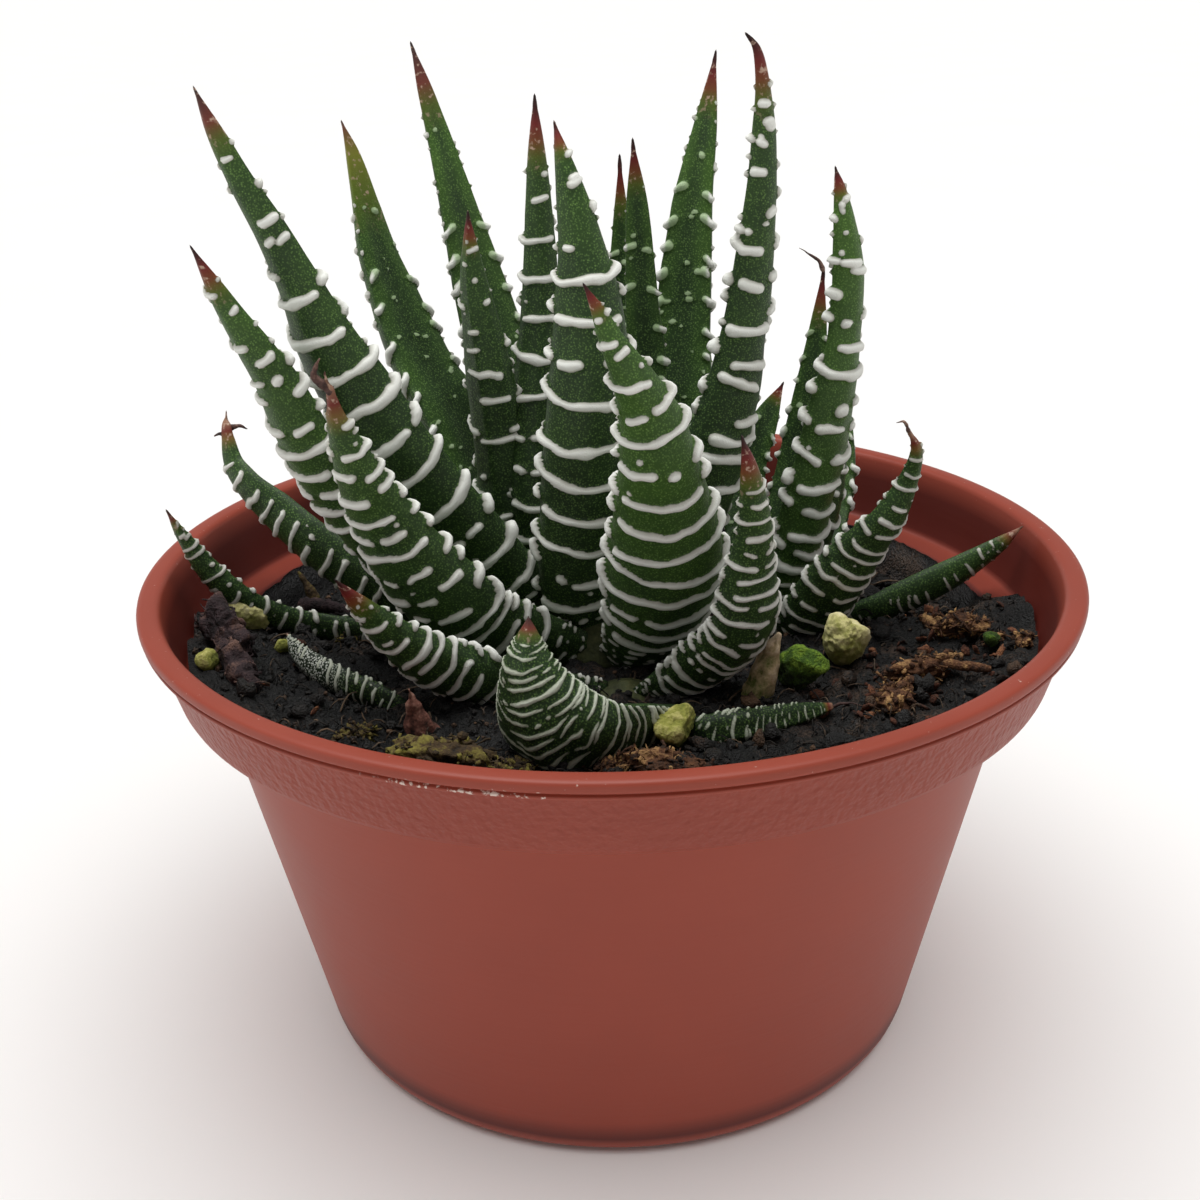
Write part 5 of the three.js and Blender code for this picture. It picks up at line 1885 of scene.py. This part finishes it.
WISPS = (
    Wisp("husk_hidden_tip", Matter.HUSK, ((29.8, 21, 95.4), (28.9, 21, 96.8), (26.4, 21, 98.4)), 0.6),
    Wisp("husk_lying_tip", Matter.HUSK, ((25.9, -22.1, 51.2), (28, -22.4, 52), (29.6, -23, 51.8)), 0.4),
    Wisp("husk_hook_right", Matter.HUSK, ((36.7, -6.8, 81), (36.0, -7.2, 82.2), (35.0, -7.2, 82.1)), 0.5),
    Wisp("husk_fork_left", Matter.HUSK, ((-51.6, 16.4, 75.4), (-53, 16.2, 76), (-53.9, 16, 75.6)), 0.9),
    Wisp("husk_fork_right", Matter.HUSK, ((-51.6, 16.5, 76.6), (-50.3, 16.2, 77), (-49.2, 16.2, 76.6)), 0.8),
    Wisp("husk_curl_front", Matter.HUSK, ((-31.1, -19.2, 91), (-32.8, -19.8, 93), (-31.8, -20.6, 95)), 1.2),
    Wisp("twig_right", Matter.BARK, ((40.4, -17.8, 54.6), (43, -19.4, 55), (45.4, -20.6, 55.2)), 1.3, 0.3),
    Wisp("twig_left", Matter.DARK, ((-44.5, 16.6, 49.8), (-40, 15.4, 50.2), (-34.5, 13, 49.2)), 2.4, 0.5),
    Wisp("stub_rear_left", Matter.DRY, ((-42.4, 18, 46.8), (-43.2, 18.6, 51), (-45, 19.4, 54.2)), 2.4),
)


@dataclass(frozen=True)
class DryStub:
    """A withered leaf that stands in the mix as a thin, folded and frayed blade.

    Its width falls by the share taper towards the tip, later for a larger bend.
    """

    name: str
    foot: Point
    tip: Point
    width: float
    thickness: float = 0.45
    matter: CrumblyMatter = DRY_LEAF
    taper: float = 0.75
    bend: float = 2.0

    rings = 64
    around = 40
    last_ring = 0.985
    fold_depth = 0.21

    def build(self, seed: int) -> None:
        """Build and dress the stub.

        Args:
            seed: picks how it is frayed.
        """
        foot, tip = np.array(self.foot), np.array(self.tip)
        tangent = unit(tip - foot)
        side = unit(np.cross(tangent, (0.0, 1.0, 0.0)))
        normal = np.cross(side, tangent)
        shares = np.linspace(0.0, self.last_ring, self.rings)
        half = self.width / 2 * (1.0 - self.taper * shares**self.bend) * (1.0 - 0.5 * shares**12)
        angle = full_turn(self.around)
        fold = self.fold_depth * np.cos(2 * angle) * half[:, None]
        x = half[:, None] * np.cos(angle)
        y = self.thickness * half[:, None] * np.sin(angle) + fold
        centre = foot + shares[:, None] * (tip - foot)
        flat = (centre[:, None] + x[..., None] * side + y[..., None] * normal).reshape(-1, 3)
        along = np.repeat(shares, self.around)
        streaks = np.column_stack([flat[:, 0], flat[:, 1], 0.18 * flat[:, 2]])
        ragged = 0.24 * value_noise(streaks, 0.5, seed) + 0.18 * value_noise(flat, 0.9, seed + 1)
        away = unit(flat - np.repeat(centre, self.around, axis=0))
        ragged *= np.minimum(1.0, 0.3 + 0.9 * np.repeat(half, self.around))
        points = np.vstack([flat + away * (ragged * (0.4 + along))[:, None], foot[None], tip[None]])
        values = {"tint": np.append(0.8 * along - 0.42 + 0.9 * ragged, [-0.3, 0.3])}
        name = self.name.replace("dry_stub", "withered_stub")
        piece = make_piece(name, (points, closed_tube(self.rings, self.around)), values)
        settle(piece, self.matter.material(), "dry_leaf", self.name)


STUBS = (
    DryStub("dry_stub_right", (16.6, -17.8, 47.5), (20.2, -16.6, 58.9), 3.9, 0.6, bend=2.4),
    DryStub("dry_stub_left", (-22.6, -25, 47.5), (-24, -26.4, 57.2), 6.6, 0.35, SCORCHED_LEAF, 0.98, 1.1),
)


@dataclass
class Studio:
    """The pale floor, the soft lights and the camera at the photograph's place.

    Each softbox has its name, its place, its two sizes and its watts.
    """

    target: Point = (-1.5, 0.0, 56.7)
    distance: float = 205.0
    elevation: float = 22.8
    roll: float = 1.37
    lens: float = 46.5
    floor_size: float = 24000.0
    floor_colour: Colour = linear("#f6f5f3")
    floor_mottle: Colour = linear("#f2f1ef")
    floor_patch: float = 60.0
    wash: float = 3.1
    wash_spread: float = 80.0
    aim_height: float = 60.0
    softboxes: tuple[Softbox, ...] = (
        ("top_softbox", (-60, 20, 640), (460, 460), 4.2),
        ("left_softbox", (-520, -160, 260), (260, 480), 0.34),
        ("right_softbox", (520, -160, 260), (260, 480), 0.34),
    )
    cove: Colour = linear("#ffffff")
    wall: Colour = linear("#b9b8b6")
    ceiling: Colour = linear("#5a5a5a")

    def set_camera(self) -> None:
        """Place the camera, tilted a little as it was held."""
        lift = math.radians(self.elevation)
        back = Vector((0.0, -math.cos(lift), math.sin(lift)))
        level, above = Vector((1.0, 0.0, 0.0)), Vector((0.0, math.sin(lift), math.cos(lift)))
        tilt = math.radians(self.roll)
        right = level * math.cos(tilt) - above * math.sin(tilt)
        upward = level * math.sin(tilt) + above * math.cos(tilt)
        lens = bpy.data.cameras.new("photo_camera")
        lens.lens = self.lens
        lens.sensor_width = 36.0
        lens.clip_start = 0.01
        lens.clip_end = 100.0
        camera = bpy.data.objects.new("photo_camera", lens)
        turn = Matrix((right, upward, back)).transposed().to_4x4()
        place = (Vector(self.target) + back * self.distance) * MM
        camera.matrix_world = Matrix.Translation(place) @ turn
        put_in_scene(camera)
        bpy.context.scene.camera = camera

    @staticmethod
    def add_lamp(name: str, kind: str, energy: float, lit: bpy.types.Collection) -> bpy.types.Object:
        """Add a lamp.

        Args:
            name: its name.
            kind: its type.
            energy: its strength.
            lit: what it may light.

        Returns:
            The lamp.
        """
        light = bpy.data.lights.new(name, kind)
        light.energy = energy
        lamp = bpy.data.objects.new(name, light)
        lamp.light_linking.receiver_collection = lit
        put_in_scene(lamp)
        return lamp

    def add_softbox(
        self, name: str, at: Point, size: tuple[float, float], watts: float, lit: bpy.types.Collection
    ) -> None:
        """Hang a softbox that faces the plant.

        Args:
            name: its name.
            at: its place.
            size: its width and height.
            watts: its power.
            lit: what it may light.
        """
        lamp = self.add_lamp(name, "AREA", watts, lit)
        lamp.data.shape = "RECTANGLE"
        lamp.data.size, lamp.data.size_y = size[0] * MM, size[1] * MM
        place = Vector(at) * MM
        aim = Vector((0.0, 0.0, self.aim_height)) * MM - place
        lamp.matrix_world = Matrix.Translation(place) @ aim.to_track_quat("-Z", "Y").to_matrix().to_4x4()

    def lay_floor(self) -> bpy.types.Object:
        """Lay the plain pale floor.

        Returns:
            The floor.
        """
        half = self.floor_size / 2
        points = np.array([(-half, -half, 0), (half, -half, 0), (half, half, 0), (-half, half, 0)], float)
        floor = make_piece("floor", (points, [np.array([[0, 1, 2, 3]])]))
        # Seamless paper is matt and even, so that only a faint mottle shows.
        material, tree, shader = new_tree("seamless_paper")
        place = add_node(tree, "TexCoord").outputs["Object"]
        shade = add_node(
            tree, "TexNoise", {"Scale": per_mm(self.floor_patch), "Detail": 3.0, "Vector": place}
        )
        paper = {"data_type": "RGBA", 6: self.floor_colour, 7: self.floor_mottle}
        feed(tree, shader, {"Base Color": add_node(tree, "Mix", paper | {0: shade}), "Roughness": 0.8})
        floor.data.materials.append(material)
        return floor

    def wash_floor(self, floor: bpy.types.Object) -> None:
        """Light the paper evenly and by itself, as the white ground of a product picture is.

        Args:
            floor: the paper.
        """
        washed = bpy.data.collections.new("washed_floor")
        washed.objects.link(floor)
        lamp = self.add_lamp("floor_wash", "SUN", self.wash, washed)
        lamp.data.angle = math.radians(self.wash_spread)

    def hang_backdrop(self) -> None:
        """Surround the set with a white cove that fades up into a dim ceiling."""
        world = bpy.data.worlds.new("studio_world")
        world.use_nodes = True
        tree = world.node_tree
        look = add_node(tree, "TexCoord").outputs["Generated"]
        height = add_node(tree, "SeparateXYZ", {"Vector": look}).outputs["Z"]
        stops = ((0.0, self.cove), (0.06, self.cove), (0.28, self.wall), (0.5, self.ceiling))
        tone = add_node(tree, "ValToRGB", {"stops": stops, "Fac": height})
        feed(tree, tree.nodes["Background"], {"Color": tone})
        bpy.context.scene.world = world

    def build(self) -> None:
        """Set the camera, the floor and the lights."""
        self.set_camera()
        floor = self.lay_floor()
        self.wash_floor(floor)
        plant = bpy.data.collections.new("all_but_floor")
        plant.objects.link(floor)
        plant.collection_objects[0].light_linking.link_state = "EXCLUDE"
        for name, at, size, watts in self.softboxes:
            self.add_softbox(name, at, size, watts, plant)
        self.hang_backdrop()
        bpy.context.scene.view_settings.view_transform = "Standard"


def main() -> None:
    """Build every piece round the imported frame."""
    logging.basicConfig(level=logging.INFO, format="%(name)s: %(message)s")
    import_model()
    Studio().build()
    pot = NurseryPot()
    pot.build()
    PottingMix(pot).build()
    stem_finish = STEM_SKIN.material()
    for crown in CROWNS:
        crown.build(stem_finish)
    skins = {tip: LeafSkin(tip).material() for tip in Tip}
    for leaf in LEAVES:
        leaf.build(skins[leaf.tip])
    finishes = {kind: kind.value[0].material() for kind in Matter}
    for i, piece in enumerate((*BITS, *WISPS)):
        piece.build(finishes, SEED + 10 * i)
    for i, stub in enumerate(STUBS):
        stub.build(SEED + 900 + 10 * i)


if __name__ == "__main__":
    main()
